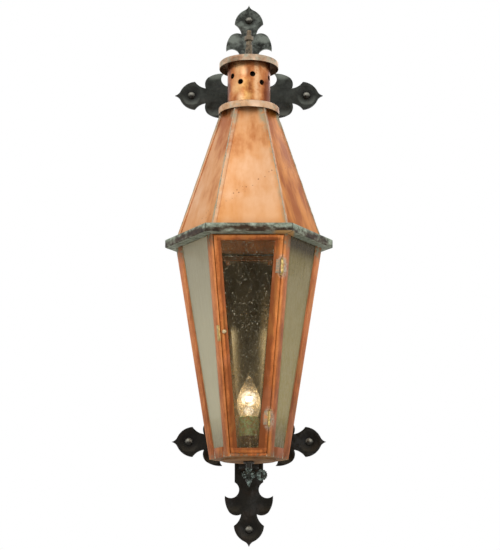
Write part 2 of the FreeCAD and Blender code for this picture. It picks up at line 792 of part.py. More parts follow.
def crown_band():
    """Folded channel: upright band, ledge above for the roof and ledge below for the posts."""
    opening = CROWN_RADIUS - CROWN_LEDGE
    band = hexagon(CROWN_RADIUS, 0, CROWN_HEIGHT)
    band = band.cut(hexagon(CROWN_RADIUS - SHEET / COS30, SHEET, CROWN_HEIGHT - SHEET))
    band = band.cut(hexagon(opening, 0, CROWN_HEIGHT))
    folds = [edge for edge in band.Edges if edge.Length > CROWN_RADIUS - SHEET]
    return band.makeFillet(CROWN_FOLD_RADIUS, folds)


def roof_radius(height):
    share = (height - ROOF_FOOT) / ROOF_HEIGHT
    return ROOF_BASE_RADIUS + (ROOF_TOP_RADIUS - ROOF_BASE_RADIUS) * share


def roof_section(face, height):
    """One roof sheet, folded at its right edge to lap over the next sheet."""
    before = (face - 1) % SIDES
    after = (face + 1) % SIDES
    outer = roof_radius(height) * COS30
    inner = outer - ROOF_SHEET
    bend = face_crossing(face, inner, after, outer)
    lap_end = bend + face_run(after) * ROOF_LAP
    return [
        face_crossing(face, outer, before, inner),
        face_crossing(face, outer, after, outer + ROOF_SHEET),
        lap_end + face_normal(after) * ROOF_SHEET,
        lap_end,
        bend,
        face_crossing(face, inner, before, inner),
    ]


def roof_sheet(face):
    ends = [lift(roof_section(face, height), height) for height in (ROOF_FOOT, ROOF_HEAD)]
    return skinned(*ends)


def collar_radius():
    """Rim that just passes over the folded hips of the roof."""
    hip = roof_radius(COLLAR_FOOT) + ROOF_SHEET / COS30
    return hip + COLLAR_CLEARANCE + SHEET


def chimney_collar():
    outer = collar_radius()
    bore = CHIMNEY_RADIUS + BORE_CLEARANCE
    return turned([
        (bore, COLLAR_TOP - SHEET),
        (outer - SHEET, COLLAR_TOP - SHEET),
        (outer - SHEET, COLLAR_FOOT),
        (outer, COLLAR_FOOT),
        (outer, COLLAR_TOP - SHEET),
        (outer - SHEET, COLLAR_TOP),
        (bore, COLLAR_TOP),
    ])


def chimney():
    bore = CHIMNEY_RADIUS - CHIMNEY_WALL
    stack = tube(CHIMNEY_RADIUS, bore, COLLAR_TOP - CHIMNEY_TAIL, CHIMNEY_HEAD)
    for rise, turn in ((LOW_VENT_RISE, LOW_VENT_TURN), (HIGH_VENT_RISE, HIGH_VENT_TURN)):
        for vent in range(VENT_COUNT):
            spoke = heading(-90 + turn + vent * 360 / VENT_COUNT)
            centre = AXIS + UP * (COLLAR_TOP + rise)
            drill = Part.makeCylinder(VENT_RADIUS, CHIMNEY_RADIUS + CHIMNEY_WALL, centre, spoke)
            stack = stack.cut(drill)
    return drilled(stack)


def chimney_cap():
    """Spun cap: rim, flat margin on the chimney's edge, low cone and the ferrule on top."""
    margin = CHIMNEY_RADIUS - CHIMNEY_WALL - CAP_MARGIN
    cone_top = CAP_TOP + CAP_CONE_RISE
    bore = STUD_RADIUS + BORE_CLEARANCE
    return turned([
        (CAP_RADIUS - SHEET, CAP_TOP - CAP_RIM),
        (CAP_RADIUS, CAP_TOP - CAP_RIM),
        (CAP_RADIUS, CAP_TOP - SHEET),
        (CAP_RADIUS - SHEET, CAP_TOP),
        (margin, CAP_TOP),
        (FERRULE_FOOT_RADIUS, cone_top),
        (FERRULE_TOP_RADIUS, FERRULE_HEAD),
        (bore, FERRULE_HEAD),
        (bore, cone_top - SHEET),
        (margin, CAP_TOP - SHEET),
        (CAP_RADIUS - SHEET, CAP_TOP - SHEET),
    ])


def cap_bridge():
    inner = CHIMNEY_RADIUS - CHIMNEY_WALL - SOLDER_GAP
    corner = Vector(-inner, AXIS_Y - BRIDGE_WIDTH / 2, BRIDGE_FLOOR)
    bar = Part.makeBox(2 * inner, BRIDGE_WIDTH, BRIDGE_THICKNESS, corner)
    top = BRIDGE_FLOOR + BRIDGE_THICKNESS
    bar = bar.common(rod(inner, BRIDGE_FLOOR, top))
    return bar.cut(rod(STUD_RADIUS + BORE_CLEARANCE, BRIDGE_FLOOR, top))


def cap_stud():
    return rod(STUD_RADIUS, BRIDGE_FLOOR - STUD_TAIL, FERRULE_HEAD + CAP_NUT_HEIGHT + STUD_TOP)


def cap_nuts():
    bore = STUD_RADIUS + BORE_CLEARANCE
    return Part.makeCompound([
        hex_nut(CAP_NUT_FLATS, bore, FERRULE_HEAD, FERRULE_HEAD + CAP_NUT_HEIGHT),
        hex_nut(CAP_NUT_FLATS, bore, BRIDGE_FLOOR - CAP_NUT_HEIGHT, BRIDGE_FLOOR),
    ])


# Door, drawn on the front face

def door_tray():
    """Door frame of folded angle: front strips with an edge leg turned inwards all round."""
    outer = slab(between_edges(DOOR_FOOT, DOOR_HEAD, LATCH_EDGE, HINGE_EDGE), 0, DOOR_DEPTH)
    low = DOOR_FOOT + SHEET
    high = DOOR_HEAD - SHEET
    hollow = between_edges(low, high, LATCH_EDGE + SHEET, HINGE_EDGE + SHEET)
    tray = outer.cut(slab(hollow, SHEET, DOOR_DEPTH)).cut(slab(door_opening(0), 0, SHEET))
    return tray.cut(door_bevel())


def door_bevel():
    """Wedge off the inner edge of the door frame, where its strips dip towards the pane."""
    front = [Vector(side, 0, rise) for side, rise in door_opening(DOOR_BEVEL)]
    back = [Vector(side, DOOR_BEVEL_DROP, rise) for side, rise in door_opening(0)]
    return skinned(front, back)


def door_opening(lap_width):
    """The door's clear opening, widened by the part of the pane that the frame covers."""
    foot = DOOR_FOOT + DOOR_RAIL - lap_width
    head = DOOR_HEAD - DOOR_RAIL + lap_width
    left = LATCH_EDGE + LATCH_STILE - lap_width
    right = HINGE_EDGE + HINGE_STILE - lap_width
    return between_edges(foot, head, left, right)


def door_band(low, high, left, right):
    """Block that takes one member out of the door frame."""
    outline = [(left, low), (right, low), (right, high), (left, high)]
    return slab(outline, 0, DOOR_DEPTH)


def door_member(low, high, left, right):
    return door_tray().common(door_band(low, high, left, right))


STILE_FOOT = DOOR_FOOT + DOOR_RAIL
STILE_HEAD = DOOR_HEAD - DOOR_RAIL
PAST_EDGE = BODY_TOP_RADIUS


def door_top_rail():
    return on_face(door_member(STILE_HEAD, DOOR_HEAD, -PAST_EDGE, PAST_EDGE), 0)


def door_bottom_rail():
    return on_face(door_member(DOOR_FOOT, STILE_FOOT, -PAST_EDGE, PAST_EDGE), 0)


def door_hinge_stile():
    return on_face(door_member(STILE_FOOT, STILE_HEAD, 0, PAST_EDGE), 0)


def knob_place():
    return Vector(LATCH_EDGE + KNOB_INSET - half_width(KNOB_RISE), 0, KNOB_RISE)


def door_latch_stile():
    stile = door_member(STILE_FOOT, STILE_HEAD, -PAST_EDGE, 0)
    bore = KNOB_SHANK_RADIUS + BORE_CLEARANCE
    hole = Part.makeCylinder(bore, SHEET, knob_place(), Vector(0, 1, 0))
    return on_face(stile.cut(hole), 0)


def door_glass():
    return on_face(slab(door_opening(GLASS_LAP), SHEET, PANE_DEPTH), 0)


def door_glass_clips():
    """Tabs on the stiles' edge legs that hold the door's pane from behind."""
    shallow = PANE_DEPTH + SOLDER_GAP
    deep = shallow + CLIP_SHEET
    clips = []
    for rise in DOOR_CLIP_RISES:
        low = rise - CLIP_WIDTH / 2
        high = rise + CLIP_WIDTH / 2
        for edge, stile, side in ((LATCH_EDGE, LATCH_STILE, -1), (HINGE_EDGE, HINGE_STILE, 1)):
            outline = [
                (side * (half_width(low) - edge - SHEET), low),
                (side * (half_width(low) - edge - stile), low),
                (side * (half_width(high) - edge - stile), high),
                (side * (half_width(high) - edge - SHEET), high),
            ]
            clips.append(on_face(slab(outline, shallow, deep), 0))
    return Part.makeCompound(clips)


def door_knob():
    """Turned ball pull with a foot on the stile and a shank through it."""
    start = -math.degrees(math.acos(KNOB_NECK_RADIUS / KNOB_RADIUS))
    knob = turned([
        (0, -SHEET),
        (KNOB_SHANK_RADIUS, -SHEET),
        (KNOB_SHANK_RADIUS, 0),
        (KNOB_FOOT_RADIUS, 0),
        (KNOB_NECK_RADIUS, KNOB_FOOT_RADIUS - KNOB_NECK_RADIUS),
    ] + ball_points(KNOB_RADIUS, KNOB_REACH, start, 90), knob_place(), Vector(0, -1, 0))
    return on_face(knob, 0)


def door_catch():
    """Brass angle bent round the front left corner, beside the knob."""
    sheet = CATCH_SHEET / math.cos(BODY_LEAN)
    ends = []
    for height in (-CATCH_DROP - CATCH_LENGTH, -CATCH_DROP):
        section = corner_section(0, height, CATCH_SIDE_LEG, CATCH_FRONT_LEG, sheet, sheet)
        ends.append(lift(section, height))
    return skinned(*ends)


# Hinges: z along the hinge line, x towards the post, y inwards

def on_hinge_line(shape, rise):
    length = math.hypot(1, EDGE_LEAN)
    along = Vector(EDGE_LEAN / length, 0, 1 / length)
    across = Vector(1 / length, 0, -EDGE_LEAN / length)
    centre = Vector(half_width(rise) - HINGE_LINE, -KNUCKLE_CENTRE, rise)
    frame = Placement(Matrix(
        across.x, 0, along.x, centre.x,
        across.y, 1, along.y, centre.y,
        across.z, 0, along.z, centre.z,
        0, 0, 0, 1))
    placed = shape.copy()
    placed.Placement = frame
    return on_face(placed, 0)


KNUCKLE_HALF = HINGE_LENGTH / 6 - KNUCKLE_GAP / 2
KNUCKLE_FREE = KNUCKLE_RADIUS + KNUCKLE_CLEARANCE
LEAF_FACE = KNUCKLE_CENTRE - LEAF_SHEET


def leaf_plate(near, far, low, high):
    return Part.makeBox(far - near, LEAF_SHEET, high - low, Vector(near, LEAF_FACE, low))


def knuckle(low, high):
    solid = Part.makeCylinder(KNUCKLE_RADIUS, high - low, UP * low)
    return solid.cut(Part.makeCylinder(HINGE_PIN_RADIUS + RUNNING_CLEARANCE, high - low, UP * low))


def frame_leaf():
    """Hinge leaf on the post, with the two outer knuckles."""
    half = HINGE_LENGTH / 2
    gap = HINGE_LENGTH / 6 + KNUCKLE_GAP / 2
    bore = Part.makeCylinder(HINGE_PIN_RADIUS + RUNNING_CLEARANCE, HINGE_LENGTH, UP * -half)
    pieces = [leaf_plate(KNUCKLE_FREE, HINGE_LINE - SOLDER_GAP, -half, half)]
    for low, high in ((-half, -gap), (gap, half)):
        pieces.append(knuckle(low, high))
        pieces.append(leaf_plate(HINGE_GAP / 2, KNUCKLE_FREE, low, high))
    return fused(pieces).cut(bore)


def door_leaf():
    """Hinge leaf on the door's stile, with the middle knuckle."""
    half = HINGE_LENGTH / 2
    pieces = [
        leaf_plate(-DOOR_LEAF_WIDTH, -KNUCKLE_FREE, -half, half),
        knuckle(-KNUCKLE_HALF, KNUCKLE_HALF),
        leaf_plate(-KNUCKLE_FREE, -HINGE_GAP / 2, -KNUCKLE_HALF, KNUCKLE_HALF),
    ]
    return fused(pieces)


def hinge_pin():
    """Pin with a ball at each end, just clear of the outer knuckles."""
    half = HINGE_LENGTH / 2 + KNUCKLE_GAP
    ball = half + math.sqrt(HINGE_BALL_RADIUS ** 2 - HINGE_PIN_RADIUS ** 2)
    neck = math.degrees(math.acos(HINGE_PIN_RADIUS / HINGE_BALL_RADIUS))
    lower = ball_points(HINGE_BALL_RADIUS, -ball, -90, neck)
    upper = ball_points(HINGE_BALL_RADIUS, ball, -neck, 90)
    return turned(lower + upper, Vector())


def at_both_hinges(shape):
    rises = (LOWER_HINGE_RISE, UPPER_HINGE_RISE)
    return Part.makeCompound([on_hinge_line(shape, rise) for rise in rises])


# Lamp and gas fittings

def feed_pipe():
    return tube(PIPE_RADIUS, PIPE_BORE, PIPE_FOOT, CUP_FLOOR + CUP_HEIGHT / 2)


def pipe_locknuts():
    bore = PIPE_RADIUS + BORE_CLEARANCE
    floor = BASE_BOTTOM + SHEET
    return Part.makeCompound([
        hex_nut(LOCKNUT_FLATS, bore, floor, floor + LOCKNUT_HEIGHT),
        hex_nut(LOCKNUT_FLATS, bore, BASE_BOTTOM - LOCKNUT_HEIGHT, BASE_BOTTOM),
        hex_nut(LOCKNUT_FLATS, bore, CUP_FLOOR - LOCKNUT_HEIGHT, CUP_FLOOR),
    ])


def socket_cup():
    bore = PIPE_RADIUS + BORE_CLEARANCE
    inner = CUP_RADIUS - CUP_WALL
    floor = CUP_FLOOR + CUP_WALL
    return turned([
        (bore, CUP_FLOOR),
        (inner, CUP_FLOOR),
        (CUP_RADIUS, floor),
        (CUP_RADIUS, SOCKET_FOOT),
        (inner, SOCKET_FOOT),
        (inner, floor),
        (bore, floor),
    ])


def socket_sleeve():
    """Lamp socket: a sleeve with a floor, bored for the bulb's base."""
    bore = PIPE_RADIUS + BORE_CLEARANCE
    floor = SOCKET_FOOT + SOCKET_FLOOR
    lip = SOCKET_RADIUS - SHEET
    return turned([
        (bore, SOCKET_FOOT),
        (SOCKET_RADIUS, SOCKET_FOOT),
        (SOCKET_RADIUS, SOCKET_HEAD - SHEET),
        (lip, SOCKET_HEAD),
        (SOCKET_BORE, SOCKET_HEAD),
        (SOCKET_BORE, floor),
        (bore, floor),
    ])


def bulb():
    """Torpedo bulb with its screw base, as one sealed piece."""
    button = SOCKET_FOOT + SOCKET_FLOOR + SOLDER_GAP
    neck = SOCKET_HEAD + BULB_SEAT_GAP
    belly = SOCKET_HEAD + BULB_BELLY_RISE
    tip = SOCKET_HEAD + BULB_LENGTH
    profile = [
        (0, button),
        (BULB_BUTTON_RADIUS, button),
        (BULB_BASE_RADIUS, button + BULB_BUTTON_HEIGHT),
        (BULB_BASE_RADIUS, neck),
    ]
    for step in range(BULB_STEPS):
        share = step / BULB_STEPS
        swell = math.sin(math.pi / 2 * share)
        radius = BULB_NECK_RADIUS + (BULB_RADIUS - BULB_NECK_RADIUS) * swell
        profile.append((radius, neck + (belly - neck) * share))
    for step in range(BULB_STEPS):
        share = step / BULB_STEPS
        taper = math.cos(math.pi / 2 * share)
        radius = BULB_TIP_RADIUS + (BULB_RADIUS - BULB_TIP_RADIUS) * taper
        profile.append((radius, belly + (tip - belly) * share))
    profile.append((0, tip))
    return turned(profile)


# Valve

VALVE_CENTRE = AXIS + UP * VALVE_HEIGHT
KEY_AXIS = Vector(1, 0, 0)


def valve_body():
    """Turned gas cock: collar under the pipe, ball, lower collar and pointed tip, cross-bored."""
    lower = VALVE_HEIGHT - VALVE_LOWER_COLLAR
    half = VALVE_COLLAR_HEIGHT / 2
    neck = math.degrees(math.acos(VALVE_NECK_RADIUS / VALVE_BALL_RADIUS))
    stem = turned([
        (0, VALVE_HEIGHT - VALVE_TIP_DROP),
        (VALVE_NECK_RADIUS, lower - 2 * half),
        (VALVE_COLLAR_RADIUS, lower - half),
        (VALVE_COLLAR_RADIUS, lower + half),
    ] + ball_points(VALVE_BALL_RADIUS, VALVE_HEIGHT, -neck, neck) + [
        (VALVE_NECK_RADIUS, PIPE_FOOT - VALVE_COLLAR_HEIGHT),
        (VALVE_COLLAR_RADIUS, PIPE_FOOT - VALVE_COLLAR_HEIGHT),
        (VALVE_COLLAR_RADIUS, PIPE_FOOT),
        (0, PIPE_FOOT),
    ])
    start = VALVE_CENTRE - KEY_AXIS * VALVE_BARREL_REACH
    barrel = Part.makeCylinder(VALVE_BARREL_RADIUS, 2 * VALVE_BARREL_REACH, start, KEY_AXIS)
    rims = [edge for edge in barrel.Edges if edge.Curve.TypeId == "Part::GeomCircle"]
    barrel = barrel.makeChamfer(VALVE_BARREL_CHAMFER, rims)
    bore = Part.makeCylinder(PLUG_RADIUS + RUNNING_CLEARANCE, 2 * VALVE_BARREL_REACH, start, KEY_AXIS)
    return fused([stem, barrel]).cut(bore)


def key_grip():
    """Flat round key with a scalloped rim and a slot down its middle."""
    centre = VALVE_CENTRE + KEY_AXIS * KEY_CENTRE
    through = Vector(0, 1, 0)
    front = centre - through * (KEY_THICKNESS / 2)
    grip = Part.makeCylinder(KEY_RADIUS, KEY_THICKNESS, front, through)
    step = 360 / KEY_SCALLOPS
    cuts = []
    for scallop in range(1, KEY_SCALLOPS):
        angle = math.radians(180 + scallop * step)
        rim = front + Vector(math.cos(angle), 0, math.sin(angle)) * KEY_RADIUS
        cuts.append(Part.makeCylinder(KEY_SCALLOP_RADIUS, KEY_THICKNESS, rim, through))
    corner = front - Vector(KEY_SLOT_WIDTH / 2, 0, KEY_SLOT_LENGTH / 2)
    cuts.append(Part.makeBox(KEY_SLOT_WIDTH, KEY_THICKNESS, KEY_SLOT_LENGTH, corner))
    return grip.cut(cuts)


def valve_key():
    """Key with its plug through the cock and a shoulder against the barrel's right end."""
    left = VALVE_CENTRE - KEY_AXIS * (VALVE_BARREL_REACH + KEY_SIDE_GAP)
    end = left - KEY_AXIS * PLUG_NUT_HEIGHT
    plug_length = 2 * VALVE_BARREL_REACH + 2 * KEY_SIDE_GAP
    right = left + KEY_AXIS * plug_length
    neck_length = KEY_CENTRE - KEY_RADIUS / 2 - VALVE_BARREL_REACH - KEY_SIDE_GAP
    pieces = [
        Part.makeCylinder(PLUG_RADIUS, plug_length, left, KEY_AXIS),
        Part.makeCylinder(PLUG_END_RADIUS, PLUG_NUT_HEIGHT + PLUG_RADIUS, end, KEY_AXIS),
        Part.makeCylinder(KEY_SHOULDER_RADIUS, KEY_SHOULDER, right, KEY_AXIS),
        Part.makeCylinder(KEY_NECK_RADIUS, neck_length, right, KEY_AXIS),
        key_grip(),
    ]
    return fused(pieces)


def plug_nut():
    start = VALVE_CENTRE - KEY_AXIS * (VALVE_BARREL_REACH + KEY_SIDE_GAP + PLUG_NUT_HEIGHT)
    bore = PLUG_END_RADIUS + RUNNING_CLEARANCE
    return hex_nut(PLUG_NUT_FLATS, bore, 0, PLUG_NUT_HEIGHT, start, KEY_AXIS)


def all_nodes():
    nodes = {
        "back_strap": back_strap(),
        "upper_cross_bar": cross_bar(CROSS_HEIGHT),
        "lower_cross_bar": cross_bar(-CROSS_HEIGHT),
        "wall_screws": wall_screws(),
        "bracket_bolts": bracket_bolts(),
        "lower_arm": lower_arm(),
        "upper_arm": upper_arm(),
        "junction_canopy": junction_canopy(),
        "base_plate": base_plate(),
        "front_sill": front_sill(),
        "pane_clips": pane_clips(),
        "crown_band": crown_band(),
        "chimney_collar": chimney_collar(),
        "chimney": chimney(),
        "chimney_cap": chimney_cap(),
        "cap_bridge": cap_bridge(),
        "cap_stud": cap_stud(),
        "cap_nuts": cap_nuts(),
        "door_top_rail": door_top_rail(),
        "door_bottom_rail": door_bottom_rail(),
        "door_hinge_stile": door_hinge_stile(),
        "door_latch_stile": door_latch_stile(),
        "door_glass": door_glass(),
        "door_glass_clips": door_glass_clips(),
        "door_knob": door_knob(),
        "door_catch": door_catch(),
        "hinge_frame_leaves": at_both_hinges(frame_leaf()),
        "hinge_door_leaves": at_both_hinges(door_leaf()),
        "hinge_pins": at_both_hinges(hinge_pin()),
        "feed_pipe": feed_pipe(),
        "pipe_locknuts": pipe_locknuts(),
        "socket_cup": socket_cup(),
        "socket_sleeve": socket_sleeve(),
        "bulb": bulb(),
        "valve_body": valve_body(),
        "valve_key": valve_key(),
        "plug_nut": plug_nut(),
    }
    for corner, name in enumerate(CORNER_NAMES):
        nodes[name + "_post"] = corner_post(corner)
    for face, name in enumerate(FACE_NAMES):
        nodes[name + "_roof"] = roof_sheet(face)
        if name != "front":
            nodes[name + "_rail"] = bottom_rail(face)
            nodes[name + "_pane"] = pane(face)
    return nodes


os.makedirs("parts", exist_ok=True)
for node, shape in all_nodes().items():
    shape.exportStep(os.path.join("parts", node + ".step"))
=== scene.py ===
import json
import math

import bmesh
import bpy
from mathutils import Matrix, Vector


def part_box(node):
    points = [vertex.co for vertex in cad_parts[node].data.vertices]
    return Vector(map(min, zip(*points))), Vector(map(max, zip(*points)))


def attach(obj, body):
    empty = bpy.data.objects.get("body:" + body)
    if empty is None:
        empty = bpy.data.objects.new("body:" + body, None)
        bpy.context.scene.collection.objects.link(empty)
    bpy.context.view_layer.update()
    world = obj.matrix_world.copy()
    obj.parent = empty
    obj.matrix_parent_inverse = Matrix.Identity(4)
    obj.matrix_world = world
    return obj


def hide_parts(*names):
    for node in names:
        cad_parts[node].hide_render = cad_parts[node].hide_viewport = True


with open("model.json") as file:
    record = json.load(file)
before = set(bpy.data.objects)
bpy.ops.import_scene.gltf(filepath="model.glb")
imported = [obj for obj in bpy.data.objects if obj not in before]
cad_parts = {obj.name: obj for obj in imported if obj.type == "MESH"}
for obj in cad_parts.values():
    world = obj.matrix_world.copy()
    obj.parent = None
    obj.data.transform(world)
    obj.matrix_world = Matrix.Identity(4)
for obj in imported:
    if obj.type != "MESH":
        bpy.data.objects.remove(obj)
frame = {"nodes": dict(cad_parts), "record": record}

bl_info = {
    "name": "Copper Wall Lantern",
    "version": (1, 0, 0),
    "blender": (4, 5, 0),
    "location": "View3D > Sidebar > Lantern",
    "description": "Dresses a copper wall lantern: aged sheet, seeded glass, forged iron and a lit lamp",
    "category": "Object",
}

# The frame: nodes, their bodies and slots, and the places that the looks are worked out from

NODES = frame["nodes"]
RECORD = frame["record"]
BODY_OF = {node: body for body, nodes in RECORD["behaviour"]["bodies"].items() for node in nodes}
MOUNTS = {mount["name"]: mount for mount in RECORD["mounts"]}
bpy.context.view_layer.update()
MM = 0.001
UP = Vector((0, 0, 1))
SIDES = (-1, 1)

FACES = ("front", "front_right", "rear_right", "rear", "rear_left", "front_left")
CORNERS = ("front_left", "front_right", "right", "rear_right", "rear_left", "left")
FACE_TURN = math.radians(60)
HALF_FACE = math.radians(30)


def low(node):
    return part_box(node)[0]


def high(node):
    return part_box(node)[1]


AXIS_Y = (low("chimney").y + high("chimney").y) / 2
AXIS = Vector((0, AXIS_Y, 0))
CROWN_FOOT = low("crown_band").z
CROWN_HEAD = high("crown_band").z
BODY_REACH = AXIS_Y - low("front_left_post").y
BODY_FOOT = low("front_left_post").z
ROOF_HEAD = high("front_roof").z
COLLAR_HEAD = high("chimney_collar").z
SOCKET_HEAD = high("socket_sleeve").z
BULB_TIP = high("bulb").z
FILAMENT = SOCKET_HEAD + 32 * MM


def face_normal(face):
    """Outward plan direction of one of the lantern's six faces; face 0 is the front."""
    angle = math.radians(-90 + 60 * face)
    return Vector((math.cos(angle), math.sin(angle), 0))


def face_run(face):
    """Plan direction along a face, left to right as seen from outside."""
    angle = math.radians(60 * face)
    return Vector((math.cos(angle), math.sin(angle), 0))


def furthest(node, direction):
    """The corner of a CAD node that lies furthest in a direction."""
    return max((vertex.co for vertex in NODES[node].data.vertices), key=direction.dot).copy()


# A lean this slight only chooses between corners at one height; a direction this steep puts height first
SLIGHT = 1e-3
STEEP = 1000


def edge_line(node, direction):
    """A node's outer edge as seen from the front: its place at height zero, and its slope."""
    foot = furthest(node, direction * SLIGHT - UP)
    head = furthest(node, direction * SLIGHT + UP)
    slope = (head.x - foot.x) / (head.z - foot.z)
    return foot.x - slope * foot.z, slope


def half_spacing(mount, axis):
    """Half the distance between a mount's screws along x or y of its face."""
    return MOUNTS[mount]["dims"]["spacing_%s_mm" % axis] / 2 * MM


# Places that the finishes single out, as seen from the front: x, z

HINGE_HALF = 15 * MM
HINGE_PLACES = []
for rise in SIDES:
    pin_end = furthest("hinge_pins", UP * rise)
    HINGE_PLACES.append((pin_end.x, pin_end.z - rise * HINGE_HALF))

CROSS_HEIGHT = half_spacing("side_screws", "y")
CROSS_REACH = half_spacing("side_screws", "x")
END_MIDDLE = MOUNTS["end_screws"]["pos_m"][2]
# The screws, round which the iron has painted shade
SCREW_PLACES = [(side * CROSS_REACH, rise * CROSS_HEIGHT) for side in SIDES for rise in SIDES]
SCREW_PLACES += [(0, END_MIDDLE + rise * half_spacing("end_screws", "y")) for rise in SIDES]

CROSS_EAR = (64 * MM, CROSS_HEIGHT + 29 * MM)
STRAP_EAR = (32 * MM, CROSS_HEIGHT + 103 * MM)
EAR_RIM = 12 * MM
EAR_PLACES = [(side * x, z) for side in SIDES for x, z in (CROSS_EAR, STRAP_EAR)]
# Painted highlights along the ears' upper edges
EAR_RIM_HIGHLIGHTS = [(x, z + EAR_RIM) for x, z in EAR_PLACES]

# The painted highlight on the roof's front sheet
ROOF_HIGHLIGHT = (0, 0.12)
PITS_HEIGHT = 0.095
PITS_SLOPE = 0.73
# The chimney's golden patch, its painted highlight streak and its two painted gleams
CHIMNEY_GOLD = (-0.007, COLLAR_HEAD + 0.02)
CHIMNEY_HIGHLIGHT = (0.014, COLLAR_HEAD + 0.05)
CHIMNEY_GLEAMS = ((-0.009, COLLAR_HEAD + 0.06), (-0.016, COLLAR_HEAD + 0.009))
# Where the door glass has painted flecks of lamp light
LIT_GLASS = (0, SOCKET_HEAD)
LIT_SIDES = ((-0.026, SOCKET_HEAD + 0.03), (0.03, SOCKET_HEAD + 0.1))


def shade(red, green, blue):
    """A colour as it shows on a screen, from 0 to 255, as the linear colour that shaders use."""
    linear = []
    for value in (red, green, blue):
        share = value / 255
        linear.append(share / 12.92 if share < 0.04045 else ((share + 0.055) / 1.055) ** 2.4)
    return tuple(linear)


# Sizes and colours that a user would change

def length(name, description, millimetres):
    return bpy.props.FloatProperty(
        name=name, description=description, default=millimetres * MM, min=0, unit="LENGTH", precision=5)


def colour(name, description, red, green, blue):
    return bpy.props.FloatVectorProperty(
        name=name, description=description, default=shade(red, green, blue),
        size=3, min=0, max=1, subtype="COLOR")


class LanternSizes(bpy.types.PropertyGroup):
    """Sizes of the trim that dresses the solids."""
    sheet_edge: length("Sheet edge", "Rounding of the copper sheet's edges", 0.3)
    fine_edge: length("Fine edge", "Rounding of the hinges, catch and gas fittings", 0.15)
    iron_edge: length("Iron edge", "Rounding of the forged bars' edges", 1.1)
    hip_bead: length("Hip solder", "Half width of the solder along the roof's hips", 0.9)
    frame_bead: length("Frame solder", "Half width of the solder at the frame's joints", 0.7)
    seed: length("Glass seed", "Half width of a fine seed bubble in the glass", 0.45)
    seed_density: bpy.props.FloatProperty(
        name="Seeds per square metre", description="How thickly seed bubbles lie in the door's glass",
        default=26000, min=0)
    thread_pitch: length("Thread pitch", "Pitch of the cap stud's thread", 1.25)
    filament_wire: length("Filament wire", "Half width of the lamp's glowing coil", 0.9)


class LanternColours(bpy.types.PropertyGroup):
    """Colours of the lantern's finishes."""
    copper_light: colour("Light copper", "Roof sheet where it is brightest", 235, 187, 145)
    copper_mid: colour("Copper", "Roof sheet over most of its area", 222, 160, 106)
    copper_deep: colour("Deep copper", "Brown stains on the roof sheet", 184, 106, 50)
    # Light frame copper also carries the painted highlights on the posts' folds and the door's outer edges.
    frame_light: colour("Light frame copper", "Posts and door where they are worn bright", 218, 140, 82)
    frame_mid: colour("Frame copper", "Posts, rails and door", 184, 105, 52)
    frame_deep: colour("Deep frame copper", "Dark red streaks on the posts and door", 136, 74, 36)
    verdigris: colour("Verdigris", "Pale green crust in seams and corners", 150, 164, 140)
    crown: colour("Crown", "Dark brown oxide of the crown band", 36, 30, 25)
    iron: colour("Iron", "Blackened forged iron", 13, 10, 6)
    solder: colour("Solder", "Dull grey solder", 206, 194, 168)
    brass: colour("Brass", "Hinge pins, knob and catch", 196, 160, 88)
    pane: colour("Side glass", "Streaked glass of the fixed panes", 212, 204, 172)
    # Olive side glass is painted shade on the lantern's right side.
    pane_olive_shade: colour("Olive side glass", "Dirtier glass on the weather side", 170, 152, 90)
    door_pane: colour("Door glass", "Dust on the seeded glass of the door", 112, 98, 70)
    lamp: colour("Lamp light", "Light of the lamp", 255, 222, 166)


class LanternStage(bpy.types.PropertyGroup):
    """Floor, camera and sky."""
    floor_drop: bpy.props.FloatProperty(
        name="Floor height", description="Height of the floor, below the lantern",
        default=-0.78, unit="LENGTH")
    eye: bpy.props.FloatVectorProperty(
        name="Camera place", description="Where the camera stands", default=(0.002, -3.082, -0.676),
        size=3, subtype="TRANSLATION", unit="LENGTH")
    pitch: bpy.props.FloatProperty(
        name="Camera pitch", description="How far the camera looks up", default=math.radians(12.04),
        subtype="ANGLE", unit="ROTATION")
    lens: bpy.props.FloatProperty(
        name="Lens", description="Focal length on a 36 mm frame", default=108.4, min=1)
    sky: bpy.props.FloatProperty(
        name="Sky", description="Strength of the soft light from all round", default=0.66, min=0)


# Node wiring

FACING = "facing_up"


class Wire:
    """A node's socket that joins in sums: an operator on it adds a Math node."""

    def __init__(self, sheet, socket):
        self.sheet = sheet
        self.socket = socket

    def other(self, output):
        """Another output of the same node."""
        return Wire(self.sheet, self.socket.node.outputs[output])

    def math(self, operation, *others):
        return self.sheet.sum(operation, self, *others)

    def most(self, other):
        return self.math("MAXIMUM", other)

    def least(self, other):
        return self.math("MINIMUM", other)

    def __add__(self, other):
        return self.math("ADD", other)

    def __sub__(self, other):
        return self.math("SUBTRACT", other)

    def __rsub__(self, other):
        return self.sheet.sum("SUBTRACT", other, self)

    def __mul__(self, other):
        return self.math("MULTIPLY", other)

    def __truediv__(self, other):
        return self.math("DIVIDE", other)

    __radd__ = __add__
    __rmul__ = __mul__


class Sheet:
    """A node tree with one method that adds a node, for shaders and for geometry."""

    def __init__(self, tree):
        self.tree = tree

    def node(self, kind, settings=None, sockets=None, output=0):
        """Add a node: its settings come first, then the values and links of its sockets."""
        made = self.tree.nodes.new(kind)
        for name, value in (settings or {}).items():
            if name == "stops":
                self.fill(made.color_ramp, value)
            else:
                setattr(made, name, value)
        for key, value in (sockets or {}).items():
            if isinstance(value, Wire):
                self.tree.links.new(value.socket, made.inputs[key])
            else:
                made.inputs[key].default_value = value
        return Wire(self, made.outputs[output]) if made.outputs else None

    @staticmethod
    def fill(ramp, stops):
        """Give a colour ramp its stops, each a place and a colour."""
        while len(ramp.elements) < len(stops):
            ramp.elements.new(1.0)
        for element, (place, tone) in zip(ramp.elements, stops):
            element.position = place
            element.color = (*tone, 1)

    def sum(self, operation, *terms):
        return self.node("ShaderNodeMath", {"operation": operation}, dict(enumerate(terms)))


